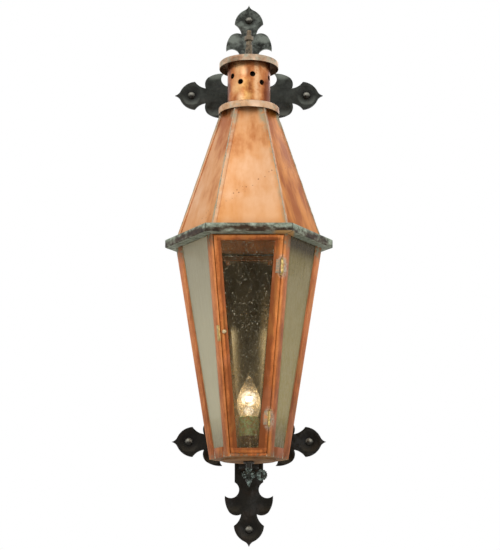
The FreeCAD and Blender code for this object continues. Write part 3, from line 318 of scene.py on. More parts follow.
class Finish(Sheet):
    """A material: its node tree, the patterns that it reads and its shader."""

    def __init__(self, name):
        self.material = bpy.data.materials.new(name)
        self.material.use_nodes = True
        super().__init__(self.material.node_tree)
        self.tree.nodes.clear()
        self.place = self.node("ShaderNodeTexCoord", output="Object")
        self.x = self.node("ShaderNodeSeparateXYZ", sockets={"Vector": self.place})
        self.y = self.x.other("Y")
        self.z = self.x.other("Z")

    def clouds(self, size, detail=4, rough=0.6, stretch=None):
        """Soft noise from 0 to 1 with blotches about a size across; a stretch makes them run one way."""
        place = self.place
        if stretch:
            place = self.node("ShaderNodeMapping", sockets={"Vector": place, "Scale": stretch})
        return self.node("ShaderNodeTexNoise", sockets={
            "Vector": place, "Scale": 1 / size, "Detail": detail, "Roughness": rough})

    def blotches(self, start, end, size, detail=4, rough=0.6, stretch=None):
        """Noise as separate blotches: 0 where it is under start, 1 where it is over end."""
        return self.between(self.clouds(size, detail, rough, stretch), start, end)

    def spots(self, size, reach):
        """Round specks on a scattered grid: 1 inside a speck of the given reach, 0 outside."""
        gap = self.node("ShaderNodeTexVoronoi", sockets={"Vector": self.place, "Scale": 1 / size})
        return self.within(gap, reach * 0.5, reach)

    def between(self, value, start, end):
        """Rises smoothly from 0 at start to 1 at end."""
        return self.node("ShaderNodeMapRange", {"interpolation_type": "SMOOTHSTEP"}, {
            0: value, 1: start, 2: end})

    def within(self, value, start, end):
        """Falls smoothly from 1 at start to 0 at end."""
        return 1 - self.between(value, start, end)

    def over(self, start, end):
        """0 below a height, 1 above another."""
        return self.between(self.z, start, end)

    def under(self, start, end):
        """1 below a height, 0 above another."""
        return self.within(self.z, start, end)

    def ramp(self, value, *stops):
        return self.node("ShaderNodeValToRGB", {"stops": stops}, {0: value})

    def blend(self, share, first, second):
        """A colour that goes from the first to the second as share goes from 0 to 1."""
        first, second = [tone if isinstance(tone, Wire) else (*tone, 1) for tone in (first, second)]
        return self.node("ShaderNodeMix", {"data_type": "RGBA", "clamp_factor": True}, {
            0: share, 6: first, 7: second}, output=2)

    def relief(self, height, depth, strength):
        """A normal bent by a height from 0 to 1 that stands for a depth in metres."""
        return self.node("ShaderNodeBump", sockets={
            "Height": height, "Distance": depth, "Strength": strength})

    def radius(self):
        """Distance from the lantern's upright axis."""
        across = self.y - AXIS_Y
        return (self.x * self.x + across * across).math("SQRT")

    def shaded(self):
        """0 on the lantern's left and front, 1 on its right: a mask of painted shade that makes the right
        side darker.
        """
        return self.between(self.x / self.radius(), 0.42, 0.6)

    def along(self, start, slope):
        """A line's distance to the right at each height."""
        return self.z * slope + start

    def patches(self, places, half_width, half_height, start, end):
        """1 on an oval patch at each place (x, z), fading out from start to end of its half sizes."""
        cover = None
        for x, z in places:
            side = (self.x - x) / half_width
            rise = (self.z - z) / half_height
            patch = self.within((side * side + rise * rise).math("SQRT"), start, end)
            cover = cover.most(patch) if cover else patch
        return cover

    def plan_angle(self):
        """Angle round the upright axis, from 0, on a corner."""
        return (self.y - AXIS_Y).math("ARCTAN2", self.x)

    def from_corner(self):
        """Distance from the nearest of the lantern's six corner lines."""
        return self.radius() * self.plan_angle().math("PINGPONG", HALF_FACE).math("SINE")

    def from_axis(self):
        """Distance from the upright axis, square to the nearest face."""
        turn = HALF_FACE - self.plan_angle().math("PINGPONG", HALF_FACE)
        return self.radius() * turn.math("COSINE")

    def from_left_corner(self):
        """Distance from the corner line at the left of each face, as seen from outside."""
        turn = (self.plan_angle() + math.tau).math("MODULO", FACE_TURN)
        return self.radius() * turn.math("SINE")

    def rise(self):
        """How far the surface of a dressed piece faces up, from -1 to 1."""
        return self.node("ShaderNodeAttribute", {"attribute_name": FACING}, output="Fac")

    def done(self, **sockets):
        """Close the material with one shader whose sockets take these values and links."""
        named = {}
        for name, value in sockets.items():
            label = name.replace("_", " ").title().replace("Ior", "IOR")
            named[label] = (*value, 1) if isinstance(value, tuple) else value
        shader = self.node("ShaderNodeBsdfPrincipled", sockets=named)
        self.node("ShaderNodeOutputMaterial", sockets={"Surface": shader})
        return self.material


# Finishes, with patterns and places in metres

def roof_copper(tones):
    """Tan sheet copper: clouds and runs, a painted highlight on the front sheet, painted shade on the right
    as deeper golden copper, a pale lap at each seam, a row of pits, green under the collar.
    """
    f = Finish("roof_copper")
    cloud = f.clouds(0.08, rough=0.55)
    brush = f.clouds(0.028, rough=0.58, stretch=(1, 1, 0.2))
    fine = f.clouds(0.006, rough=0.65)
    # Painted shade: the right side is darker and more golden.
    shaded = f.shaded()
    # A painted highlight on the front sheet, below its middle.
    highlighted = f.patches([ROOF_HIGHLIGHT], 0.05, 0.07, 0.1, 1.1)
    high_up = f.over(0.15, 0.24)
    # The tone mixes noise with the painted highlight and the painted shade.
    wear_and_shading = cloud * 0.55 + brush * 0.45 + highlighted * 0.05 - shaded * 0.07 - high_up * 0.07
    clean = f.ramp(wear_and_shading, (0.36, tones.copper_deep), (0.47, tones.copper_mid), (0.6, tones.copper_light))
    low_down = f.under(CROWN_HEAD + 0.005, CROWN_HEAD + 0.08)
    warm = f.blend(low_down * 0.4, clean, shade(226, 156, 86))
    golden = f.ramp(brush, (0.4, shade(172, 90, 26)), (0.6, shade(222, 140, 54)))
    tone = f.blend(shaded * 0.8, warm, golden)
    worn = f.blotches(0.4, 0.62, 0.02)
    lap = f.within(f.from_left_corner(), 0.005, 0.0085)
    lapped = f.blend(lap * (0.2 + worn * 0.4), tone, shade(238, 204, 172))
    corner = f.from_corner()
    hip = f.within(corner, 0.0012, 0.005)
    collar = f.over(ROOF_HEAD - 0.075, ROOF_HEAD - 0.015)
    run_off = collar * worn * f.within(corner, 0.003, 0.013)
    green = (hip * worn * 0.35).most(run_off * 0.8)
    slant = f.between((f.z - PITS_HEIGHT - f.x * PITS_SLOPE).math("ABSOLUTE"), 0.003, 0.011)
    pits = f.spots(0.0065, 0.26) * (1 - slant * 0.97) * f.between(fine, 0.35, 0.5)
    eaves = f.under(CROWN_HEAD, CROWN_HEAD + 0.02)
    stained = f.blend(pits * 0.75 + eaves * 0.2, lapped, tones.frame_deep)
    return f.done(
        base_color=f.blend(green, stained, tones.verdigris),
        metallic=0.75 - green * 0.65,
        roughness=0.4 + cloud * 0.12 + green * 0.3,
        normal=f.relief(fine * 0.3 + cloud * 4 - pits, 0.0006, 0.35))


def smoked_copper(name, dark, brown, clean, share):
    """Smoked copper, for insides and undersides: dark to brown, with a share of cleaner specks."""
    f = Finish(name)
    cloud = f.clouds(0.03)
    smoke = f.ramp(cloud, (0.32, dark), (0.66, brown))
    specks = f.blotches(0.3, 0.75, 0.008)
    return f.done(
        base_color=f.blend(specks * share, smoke, clean),
        metallic=0.1,
        roughness=0.62 + cloud * 0.2,
        specular_ior_level=0.2)


def inside_copper():
    """The smoked copper that roof, crown and clips share, made once."""
    name = "sooty_copper"
    made = bpy.data.materials.get(name)
    return made or smoked_copper(
        name, shade(184, 108, 58), shade(255, 170, 102), shade(246, 194, 134), share=0.12)


def chimney_copper(tones):
    """Bright tube copper: dark upright streaks, painted shade towards its sides and more on its right, a
    golden patch low down, a painted highlight streak and two painted gleams.
    """
    f = Finish("chimney_copper")
    cloud = f.clouds(0.026)
    streak = f.clouds(0.026, 3, 0.5, stretch=(1, 1, 0.22))
    fine = f.clouds(0.004)
    side = f.x / f.radius()
    # Painted shade: darker towards the tube's sides, and more on its right.
    edge = f.between(side.math("ABSOLUTE"), 0.55, 1.0)
    right = f.between(side, 0.3, 0.9)
    wear_and_shading = cloud * 0.45 + streak * 0.55 - edge * 0.13 - right * 0.08
    tone = f.ramp(wear_and_shading, (0.33, shade(124, 64, 34)), (0.46, shade(196, 122, 72)), (0.58, shade(236, 180, 126)))
    # A golden patch low down on the tube.
    heat = f.patches([CHIMNEY_GOLD], 0.022, 0.034, 0.1, 1.1) * f.between(cloud, 0.36, 0.56)
    straw = f.ramp(cloud, (0.4, shade(190, 134, 66)), (0.6, shade(238, 194, 118)))
    stained = f.blend(heat * 0.6, tone, straw)
    # Painted highlights: a pale upright streak and two gleams.
    highlight_streak = f.patches([CHIMNEY_HIGHLIGHT], 0.006, 0.06, 0.2, 1.2) * f.between(fine, 0.3, 0.55)
    gleam = f.patches(CHIMNEY_GLEAMS, 0.008, 0.012, 0.1, 1.2)
    highlighted = f.blend(highlight_streak.most(gleam) * 0.6, stained, shade(252, 208, 160))
    foot = f.under(COLLAR_HEAD + 0.001, COLLAR_HEAD + 0.012)
    return f.done(
        base_color=f.blend(foot * f.between(fine, 0.4, 0.6) * 0.5, highlighted, tones.frame_deep),
        metallic=0.92,
        roughness=0.24 + cloud * 0.14,
        normal=f.relief(cloud * 4 + fine * 0.3, 0.0007, 0.5))


def cap_copper(name, copper, crusted):
    """Pale oxidised copper of the cap or the collar, with grey-green crust and a dark ferrule."""
    f = Finish(name)
    cloud = f.clouds(0.025)
    crust = f.blotches(0.56 - crusted, 0.78 - crusted, 0.011, 5, 0.65)
    tone = f.ramp(cloud, (0.34, shade(150, 106, 76)), (0.5, copper), (0.66, shade(228, 192, 160)))
    chalk = f.ramp(cloud, (0.4, shade(148, 148, 124)), (0.6, shade(198, 196, 174)))
    pale = f.blend(crust * 0.75, tone, chalk)
    ferrule = f.within(f.radius(), 0.0078, 0.0092)
    dull = f.ramp(f.clouds(0.006), (0.35, shade(60, 54, 44)), (0.65, shade(140, 124, 100)))
    return f.done(
        base_color=f.blend(ferrule, pale, dull),
        metallic=0.6 - crust * 0.45,
        roughness=0.42 + crust * 0.25,
        normal=f.relief(crust * 0.5 + cloud, 0.0006, 0.4))


def crown_copper(tones):
    """Nearly black band, chalky blue-green on its top fold, corners and underside, bare at one corner."""
    f = Finish("crown_copper")
    patch = f.clouds(0.026, stretch=(0.55, 0.55, 1.3))
    chalk = f.clouds(0.006, 5, 0.7, stretch=(0.6, 0.6, 1))
    corner = f.from_corner()
    top = f.over(CROWN_HEAD - 0.01, CROWN_HEAD - 0.0005)
    lip = f.under(CROWN_FOOT + 0.0004, CROWN_FOOT + 0.0028)
    end = f.within(corner, 0.003, 0.03)
    cover = f.between(patch * 0.95 + chalk * 0.35 + top * 0.17 + end * 0.1, 0.61, 0.94)
    outside = f.between(f.from_axis(), BODY_REACH - 0.004, BODY_REACH)
    sheltered = f.between(f.y, AXIS_Y + 0.04, AXIS_Y + 0.08) * lip
    soffit = f.under(CROWN_FOOT + 0.0002, CROWN_FOOT + 0.0008) * (0.35 + chalk * 0.5)
    seam = f.within(corner, 0.0006, 0.0018)
    green = cover.most(soffit) * outside * (1 - sheltered)
    brown = f.ramp(patch * 0.5 + chalk * 0.5, (0.36, tones.crown), (0.62, shade(86, 62, 42)))
    smoked = f.blend((1 - outside).most(sheltered), brown, shade(172, 112, 66))
    powder = f.ramp(chalk, (0.32, shade(114, 124, 106)), (0.66, shade(192, 203, 183)))
    bare = f.within(corner, 0.02, 0.034) * f.between(f.x, 0.036, 0.05) * f.within(f.x, 0.076, 0.082)
    dressed = f.blend(bare * lip * 0.9, f.blend(green, smoked, powder), shade(186, 142, 86))
    return f.done(
        base_color=f.blend(seam * 0.6, dressed, shade(58, 50, 40)),
        metallic=0.3 - green * 0.25,
        roughness=0.42 + green * 0.3,
        specular_ior_level=0.14,
        normal=f.relief(green * 0.8 + chalk * 0.4 - seam, 0.0007, 0.5))


def frame_copper(tones, name, ribs, crusted, dim):
    """Orange sheet of posts, rails and door: upright streaks, painted highlights on the ribs and painted
    shade beside the glass, redder low down, green heads.
    """
    f = Finish(name)
    streak = f.clouds(0.005, rough=0.62, stretch=(1, 1, 0.11))
    cloud = f.clouds(0.03, stretch=(1, 1, 0.6))
    fine = f.clouds(0.003, 3)
    bright, dark = ribs(f)
    up = f.over(BODY_FOOT, CROWN_FOOT)
    hinge_side = f.between(f.x, 0.02, 0.045) * f.within(f.x, 0.08, 0.11)
    # The ribs' painted highlights and painted shade go into the tone here.
    wear_and_shading = streak * 0.34 + cloud * 0.34 + fine * 0.14 + bright * 0.07 - dark * 0.07 + up * 0.08 + 0.06
    wear_and_shading = wear_and_shading - dim - hinge_side * 0.05
    tone = f.ramp(wear_and_shading, (0.37, tones.frame_deep), (0.48, tones.frame_mid), (0.6, tones.frame_light))
    pink = f.blotches(0.52, 0.64, 0.05, 3, stretch=(1, 1, 0.5))
    gold = f.blotches(0.5, 0.62, 0.04, 3, stretch=(2, 1, 0.4))
    rosy = f.blend(pink * 0.3, f.blend(gold * 0.2, tone, shade(206, 146, 74)), shade(208, 132, 94))
    head = f.over(CROWN_FOOT - 0.034, CROWN_FOOT - 0.006)
    foot = f.under(BODY_FOOT + 0.002, BODY_FOOT + 0.012)
    crust = f.blotches(0.42, 0.62, 0.008, 5, 0.65)
    green = (head * (0.35 + crust * 0.6) + foot * crust * 0.4) * crusted
    mossy = f.ramp(crust, (0.2, shade(58, 60, 48)), (0.9, shade(122, 132, 110)))
    halo = f.patches(HINGE_PLACES, 0.0105, 0.021, 0.55, 1.15) * f.blotches(0.3, 0.55, 0.006, 3)
    smeared = f.ramp(fine, (0.4, shade(140, 140, 126)), (0.6, shade(206, 194, 170)))
    return f.done(
        base_color=f.blend(halo * 0.8, f.blend(green, rosy, mossy), smeared),
        metallic=0.8 - green * 0.6 - halo * 0.5,
        roughness=0.36 + streak * 0.16 + green * 0.25,
        normal=f.relief(streak + fine * 0.3 + halo, 0.0004, 0.3))


def post_ribs(f):
    """A post has a painted highlight along its fold and painted shade where its flanges meet the glass."""
    corner = f.from_corner()
    return f.within(corner, 0.0008, 0.0034), f.between(corner, 0.012, 0.016)


def door_ribs(f):
    """The door's strips have a painted highlight along their outer edges, and painted shade where they fall
    to the glass.
    """
    latch = f.x - f.along(*edge_line("door_latch_stile", Vector((-1, 0, 0))))
    hinge = f.along(*edge_line("door_hinge_stile", Vector((1, 0, 0)))) - f.x
    upright = (f.z - low("door_bottom_rail").z).least(high("door_top_rail").z - f.z)
    depth = latch.least(hinge).least(upright)
    return f.within(depth, 0.003, 0.006), f.between(depth, 0.0045, 0.0075)


def solder_finish(tones, name, bloomed, coppery):
    """Pale dull solder with a share of green bloom, and a share of copper showing through."""
    f = Finish(name)
    lump = f.clouds(0.004)
    bloom = f.blotches(0.45, 0.6, 0.03, 3) * bloomed
    tone = f.blend(bloom, f.ramp(lump, (0.3, shade(146, 132, 110)), (0.6, tones.solder)), tones.verdigris)
    copper = f.blotches(0.48, 0.6, 0.04, 3)
    return f.done(
        base_color=f.blend(copper * coppery, tone, tones.copper_light),
        metallic=0.4,
        roughness=0.5,
        specular_ior_level=0.3,
        normal=f.relief(lump, 0.0006, 0.5))


def hinge_finish():
    """Soldered hinge leaves, grey-green over copper, with a yellow brass knuckle."""
    f = Finish("hinge_brass")
    smear = f.clouds(0.005)
    grey, tan, red = shade(134, 132, 112), shade(178, 152, 124), shade(206, 140, 92)
    leaf = f.ramp(smear, (0.36, grey), (0.5, tan), (0.62, red))
    knuckle = f.patches(HINGE_PLACES, 0.0026, 0.03, 0.6, 1.0)
    yellow = f.ramp(smear, (0.36, shade(160, 128, 62)), (0.6, shade(232, 204, 128)))
    return f.done(
        base_color=f.blend(knuckle, leaf, yellow),
        metallic=0.4 + knuckle * 0.4,
        roughness=0.45 - knuckle * 0.15,
        normal=f.relief(smear, 0.0004, 0.4))


def forged_iron(tones, name, rust):
    """Black hammered iron with painted light: lighter where it faces up, painted highlights along the upper
    edges of the ears, a grey bloom up high that is partly painted light, painted shade round the screws, some
    brown rust.
    """
    f = Finish(name)
    dent = f.clouds(0.014, 2, 0.4)
    fine = f.clouds(0.0025)
    cloud = f.clouds(0.03, rough=0.55)
    ears = f.patches(EAR_PLACES, 0.026, 0.026, 0.8, 1.1)
    rim_highlights = f.patches(EAR_RIM_HIGHLIGHTS, 0.02, 0.009, 0.2, 1.2)
    # Painted light: lighter where the surface faces up, flat on the ears, with painted highlights on their
    # upper edges.
    lit = f.between(f.rise() * (1 - ears * 1.4) + dent * 0.1 + rim_highlights * 0.2 - 0.05, -0.06, 0.24)
    black = f.blend(fine * 0.3 + lit * 0.7, tones.iron, shade(58, 53, 42))
    top = f.over(0.36, 0.45)
    mottle = f.blotches(0.4, 0.66, 0.011, 5, 0.68) * (0.1 + top * 0.5)
    # Pale grey that is partly mottled patina and partly painted light: where the surface faces up, on the
    # painted highlights, and high up.
    lit_grey_share = lit * 0.6 + cloud * 0.4 + mottle + rim_highlights * 0.3 - 0.16
    lit_grey = f.blend(lit_grey_share, shade(34, 35, 31), shade(132, 139, 130))
    above = f.over(0.1, 0.46)
    bloom = f.blend(above, black, lit_grey)
    brown = f.blotches(0.5, 0.66, 0.03, 5, 0.65) * rust
    rusty = f.blend(brown, bloom, shade(76, 48, 32))
    # Painted shade round each screw.
    screw_shade = f.patches(SCREW_PLACES, 0.017, 0.017, 0.35, 1.0)
    return f.done(
        base_color=f.blend(screw_shade * 0.75, rusty, shade(14, 11, 8)),
        roughness=0.27 + fine * 0.12,
        specular_ior_level=0.13,
        normal=f.relief(dent * 2 + fine * 0.2, 0.0016, 0.6))


def dark_steel(name, dark, light):
    """Steel of screw heads, nuts and stud: dark, with a painted highlight where it faces up, broken by noise.
    """
    f = Finish(name)
    cloud = f.clouds(0.007, 3, 0.55)
    # Painted highlight where the surface faces up.
    highlighted = f.between(cloud * 0.5 + f.rise() * 0.5, 0.05, 0.6)
    return f.done(
        base_color=f.blend(highlighted, dark, light),
        metallic=0.6,
        roughness=0.26 + cloud * 0.16,
        normal=f.relief(cloud, 0.0004, 0.4))


def bolt_steel():
    """The steel that bolts and pipe share, made once."""
    name = "bolt_steel"
    made = bpy.data.materials.get(name)
    return made or dark_steel(name, shade(40, 37, 32), shade(70, 65, 57))


def brass_finish(tones, name, film, share):
    """Satin brass under a share of patchy film of a given colour: a grey film is a dull skin, a pale film is
    a painted highlight.
    """
    f = Finish(name)
    cloud = f.clouds(0.005)
    patch = f.blotches(0.46, 0.62, 0.008)
    tone = f.ramp(cloud, (0.3, shade(108, 78, 42)), (0.5, tones.brass), (0.7, shade(216, 186, 118)))
    return f.done(
        base_color=f.blend(patch * 0.5 * share + share * 0.25, tone, film),
        metallic=0.9,
        roughness=0.26 + cloud * 0.18,
        normal=f.relief(cloud, 0.0003, 0.4))


def powdery_brass(name, dark, powdered, pale, cover, grain):
    """Fittings under a powdery skin that leaves dark metal in the hollows."""
    f = Finish(name)
    powder = f.clouds(grain, 5, 0.68)
    cloud = f.clouds(grain * 3)
    skin = f.between(powder * 0.6 + cloud * 0.4, 0.58 - cover, 0.74 - cover)
    return f.done(
        base_color=f.blend(skin, dark, f.blend(f.between(powder, 0.4, 0.65), powdered, pale)),
        metallic=0.4 - skin * 0.3,
        roughness=0.42 + skin * 0.25,
        specular_ior_level=0.3,
        normal=f.relief(skin * 0.6 + powder, 0.0006, 0.5))


def pane_glass(tones):
    """Old drawn sheet: grey, olive on the right as painted shade, half clear, finely streaked up and down,
    with a painted shadow of the crown at its head and darker towards its foot.
    """
    f = Finish("pane_glass")
    shaded = f.shaded()
    streak = f.clouds(0.0036, rough=0.65, stretch=(1, 1, 0.04))
    grain = f.clouds(0.005, rough=0.65)
    wave = f.clouds(0.03, 2, 0.4, stretch=(1, 1, 0.25))
    speck = f.spots(0.006, 0.12) * shaded
    # Painted shade: the glass on the right side is olive and darker.
    clean = f.blend(shaded, tones.pane, tones.pane_olive_shade)
    # Painted shade under the crown over the upper part, and darker towards the foot.
    head = f.over(CROWN_FOOT - 0.19, CROWN_FOOT - 0.02)
    # A deeper painted shadow of the crown on the right side.
    crown_shadow = f.over(CROWN_FOOT - 0.045, CROWN_FOOT - 0.012) * shaded
    foot = f.under(BODY_FOOT + 0.02, BODY_FOOT + 0.085)
    darkened_ends = f.blend(head * 0.3 + foot * 0.6, clean, shade(104, 84, 54))
    shadowed_ends = f.blend(crown_shadow * 0.9 + foot * shaded * 0.4, darkened_ends, shade(40, 22, 2))
    light = f.between(streak * 0.5 + grain * 0.5, 0.38, 0.64) * 0.26 + speck * 0.4 + 0.08
    return f.done(
        base_color=f.blend(light * (1 - crown_shadow * 0.8), shadowed_ends, shade(206, 200, 172)),
        roughness=0.24,
        alpha=0.54 + streak * 0.12 + crown_shadow * 0.3 + foot * 0.2,
        specular_ior_level=0.12,
        normal=f.relief(streak + wave * 2, 0.0003, 0.3))


def smoked_glass():
    """The rear pane: cloudy amber-smoked glass, through which a white wall looks olive brown."""
    f = Finish("smoked_glass")
    film = f.clouds(0.03, stretch=(1, 1, 0.4))
    return f.done(
        base_color=f.ramp(film, (0.35, shade(204, 178, 124)), (0.65, shade(236, 211, 158))),
        roughness=0.5,
        ior=1.3,
        transmission_weight=1.0)


def door_pane_glass(tones):
    """Clear seeded glass: a little dust in runs, and golden flecks of painted lamp light round the lamp."""
    f = Finish("door_glass")
    wave = f.clouds(0.025, 3, 0.5)
    dust = f.blotches(0.4, 0.72, 0.03, 5, 0.7, stretch=(1, 1, 0.5))
    haze = f.under(BODY_FOOT + 0.09, BODY_FOOT + 0.3)
    grain = f.clouds(0.0036, rough=0.65)
    near = f.patches([LIT_GLASS], 0.05, 0.095, 0.4, 1.1)
    side = f.patches(LIT_SIDES, 0.013, 0.12, 0.3, 1.2)
    fleck = (f.between(grain, 0.54, 0.68) * near).most(f.between(grain, 0.36, 0.62) * side * 0.7)
    return f.done(
        base_color=f.blend(fleck, tones.door_pane, shade(206, 168, 108)),
        roughness=0.06,
        alpha=0.07 + dust * 0.1 + haze * 0.1 + fleck * 0.42,
        specular_ior_level=0.25,
        normal=f.relief(wave, 0.0012, 0.4))


def seed_glass():
    """Seed bubbles that catch the light."""
    f = Finish("glass_seed")
    glint = f.clouds(0.002, 2, 0.55)
    return f.done(
        base_color=f.ramp(glint, (0.4, shade(160, 150, 120)), (0.6, shade(244, 234, 204))),
        roughness=0.12,
        alpha=0.34 + glint * 0.34,
        specular_ior_level=0.5)


def lamp_glass(tones):
    """Clear lamp glass, flecked with light round the filament, in its neck and at its tip."""
    f = Finish("bulb_glass")
    glow = f.within(((f.z - FILAMENT) / 0.036).math("ABSOLUTE"), 0.0, 1.0)
    neck = f.under(SOCKET_HEAD + 0.008, SOCKET_HEAD + 0.026)
    tip = f.over(BULB_TIP - 0.008, BULB_TIP - 0.002)
    lit = glow.most(neck * 0.6).most(tip * 0.8)
    swirl = f.blotches(0.46, 0.66, 0.005, stretch=(1, 1, 0.5))
    fleck = f.blotches(0.5, 0.64, 0.0036, rough=0.65)
    return f.done(
        base_color=shade(230, 210, 172),
        roughness=0.04,
        alpha=0.1 + lit * (0.32 + fleck * 0.3) + swirl * 0.1,
        specular_ior_level=0.7,
        emission_color=f.blend(lit * (0.5 + fleck * 0.5), (0.03, 0.02, 0.01), tones.lamp),
        emission_strength=1.2)


def stem_glass():
    """Clear stem that carries the filament, lit from above."""
    f = Finish("stem_glass")
    swirl = f.clouds(0.003, 3, 0.55)
    return f.done(
        base_color=shade(250, 236, 206),
        roughness=0.1,
        alpha=0.35 + swirl * 0.3,
        emission_color=f.ramp(swirl, (0.35, shade(150, 116, 66)), (0.65, shade(255, 240, 205))),
        emission_strength=0.9)


def filament_glow():
    """White-hot filament."""
    f = Finish("filament")
    heat = f.clouds(0.004, 2, 0.55)
    return f.done(
        base_color=shade(255, 240, 214),
        emission_color=f.ramp(heat, (0.2, shade(255, 232, 190)), (0.6, shade(255, 248, 230))),
        emission_strength=22.0)


def glow_haze(tones, name, grain, cover, strength):
    """A ragged ball of light in the lamp, of a given grain, cover and strength."""
    f = Finish(name)
    ragged = f.clouds(grain, 3)
    return f.done(
        base_color=(0, 0, 0),
        alpha=f.between(ragged, 0.38, 0.7) * cover,
        specular_ior_level=0.0,
        emission_color=f.ramp(ragged, (0.35, tones.lamp), (0.6, shade(255, 246, 226))),
        emission_strength=strength)


# Building pieces

WELD = 1e-6
FLAT = math.radians(0.4)
SHARP = math.radians(32)
DOWNWARD = -0.8
INWARD = -0.3


def put(name, mesh, finish, body, replaced=()):
    """Stand a finished mesh in the scene: its finish, its body and the nodes it stands for."""
    mesh.materials.clear()
    mesh.materials.append(finish)
    piece = bpy.data.objects.new(name, mesh)
    bpy.context.scene.collection.objects.link(piece)
    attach(piece, body)
    if replaced:
        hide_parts(*replaced)


def turn_at(edge):
    """The angle by which the surface turns at an edge, or None where only one face meets it."""
    return edge.calc_face_angle() if len(edge.link_faces) == 2 else None


def softened(node, rounding):
    """A merged copy of a node's mesh with its edges rounded."""
    shape = bmesh.new()
    shape.from_mesh(NODES[node].data)
    bmesh.ops.remove_doubles(shape, verts=shape.verts, dist=WELD)
    bmesh.ops.dissolve_limit(shape, angle_limit=FLAT, verts=shape.verts, edges=shape.edges)
    if rounding:
        folds = [edge for edge in shape.edges if (turn_at(edge) or 0) > SHARP]
        bmesh.ops.bevel(shape, geom=folds, offset=rounding, segments=2, profile=0.5, affect="EDGES",
                        clamp_overlap=True)
    return shape


def mesh_from(shape, name):
    """A smooth mesh, with sharp edges where the surface turns."""
    for face in shape.faces:
        face.smooth = True
    for edge in shape.edges:
        turn = turn_at(edge)
        edge.smooth = turn is not None and turn < SHARP
    mesh = bpy.data.meshes.new(name)
    shape.to_mesh(mesh)
    shape.free()
    return mesh


def mark_facing(mesh):
    """Note at each corner how far the faces round it look up, the large ones counting most."""
    sums = [Vector() for corner in mesh.vertices]
    for face in mesh.polygons:
        for corner in face.vertices:
            sums[corner] += face.normal * face.area
    mark = mesh.attributes.new(FACING, "FLOAT", "POINT")
    mark.data.foreach_set("value", [total.normalized().z for total in sums])


def dress(node, finish, rounding, inside=None, soffit=True):
    """Put a softened copy of a node in its place; another finish may go inside it, and underneath."""
    skin = node + "_skin"
    mesh = mesh_from(softened(node, rounding), skin)
    mark_facing(mesh)
    put(skin, mesh, finish, BODY_OF[node], [node])
    if inside:
        mesh.materials.append(inside)
        for face in mesh.polygons:
            spoke = ((face.center - AXIS) * Vector((1, 1, 0))).normalized()
            under = face.normal.z < DOWNWARD
            face.material_index = int(soffit if under else face.normal.dot(spoke) < INWARD)


def turned(profile, foot, segments):
    """A solid of revolution on the lantern's axis, from radii and heights in millimetres over a foot."""
    shape = bmesh.new()
    rings = []
    for radius, height in profile:
        centre = AXIS + UP * (foot + height * MM)
        if radius * MM < WELD:
            rings.append([shape.verts.new(centre)])
            continue
        angles = [math.tau * step / segments for step in range(segments)]
        spokes = [Vector((math.cos(angle), math.sin(angle), 0)) for angle in angles]
        rings.append([shape.verts.new(centre + spoke * radius * MM) for spoke in spokes])
    for lower, upper in zip(rings, rings[1:]):
        for step in range(segments):
            after = (step + 1) % segments
            corners = [lower[step % len(lower)], lower[after % len(lower)],
                       upper[after % len(upper)], upper[step % len(upper)]]
            shape.faces.new(list(dict.fromkeys(corners)))
    bmesh.ops.recalc_face_normals(shape, faces=shape.faces)
    return shape


# Geometry Nodes

class Recipe(Sheet):
    """A geometry node tree with named inputs, turned into a plain mesh."""

    def __init__(self, name, inputs):
        super().__init__(bpy.data.node_groups.new(name, "GeometryNodeTree"))
        self.name = name
        interface = self.tree.interface
        interface.new_socket("Geometry", in_out="INPUT", socket_type="NodeSocketGeometry")
        self.keys = {}
        for label, kind in inputs.items():
            socket = interface.new_socket(label, in_out="INPUT", socket_type="NodeSocket" + kind)
            self.keys[label] = socket.identifier
        interface.new_socket("Geometry", in_out="OUTPUT", socket_type="NodeSocketGeometry")
        self.entry = self.node("NodeGroupInput")

    def given(self, label):
        return self.entry.other(label)

    def close(self, geometry):
        """End in smooth, real geometry with the material that the modifier is given."""
        smooth = self.node("GeometryNodeSetShadeSmooth", sockets={"Geometry": geometry})
        real = self.node("GeometryNodeRealizeInstances", sockets={"Geometry": smooth})
        painted = self.node("GeometryNodeSetMaterial", sockets={
            "Geometry": real, "Material": self.given("Finish")})
        self.node("NodeGroupOutput", sockets={"Geometry": painted})
        return self

    def tube(self, curve, sides, radius, scale=1.0):
        """A round tube along a curve, with closed ends."""
        section = self.node("GeometryNodeCurvePrimitiveCircle", sockets={
            "Resolution": sides, "Radius": radius})
        return self.node("GeometryNodeCurveToMesh", sockets={
            "Curve": curve, "Profile Curve": section, "Scale": scale, "Fill Caps": True})

    def cook(self, base, values):
        """Run the tree on a base mesh with these input values, and give back a plain mesh."""
        holder = bpy.data.objects.new(self.name, base)
        bpy.context.scene.collection.objects.link(holder)
        modifier = holder.modifiers.new(self.name, "NODES")
        modifier.node_group = self.tree
        for label, value in values.items():
            modifier[self.keys[label]] = value
        bpy.context.view_layer.update()
        depsgraph = bpy.context.evaluated_depsgraph_get()
        mesh = bpy.data.meshes.new_from_object(holder.evaluated_get(depsgraph))
        holder.modifiers.clear()
        bpy.data.objects.remove(holder)
        return mesh


def path_mesh(name, paths):
    """A mesh of edges along lists of points."""
    mesh = bpy.data.meshes.new(name)
    points = []
    edges = []
    for path in paths:
        start = len(points)
        points += path
        edges += [(start + step, start + step + 1) for step in range(len(path) - 1)]
    mesh.from_pydata(points, edges, [])
    return mesh


BEAD_STEP = 2.2 * MM
BEAD_SIDES = 8
SPIRAL_STEPS = 20
THREAD_SHARE = 0.4


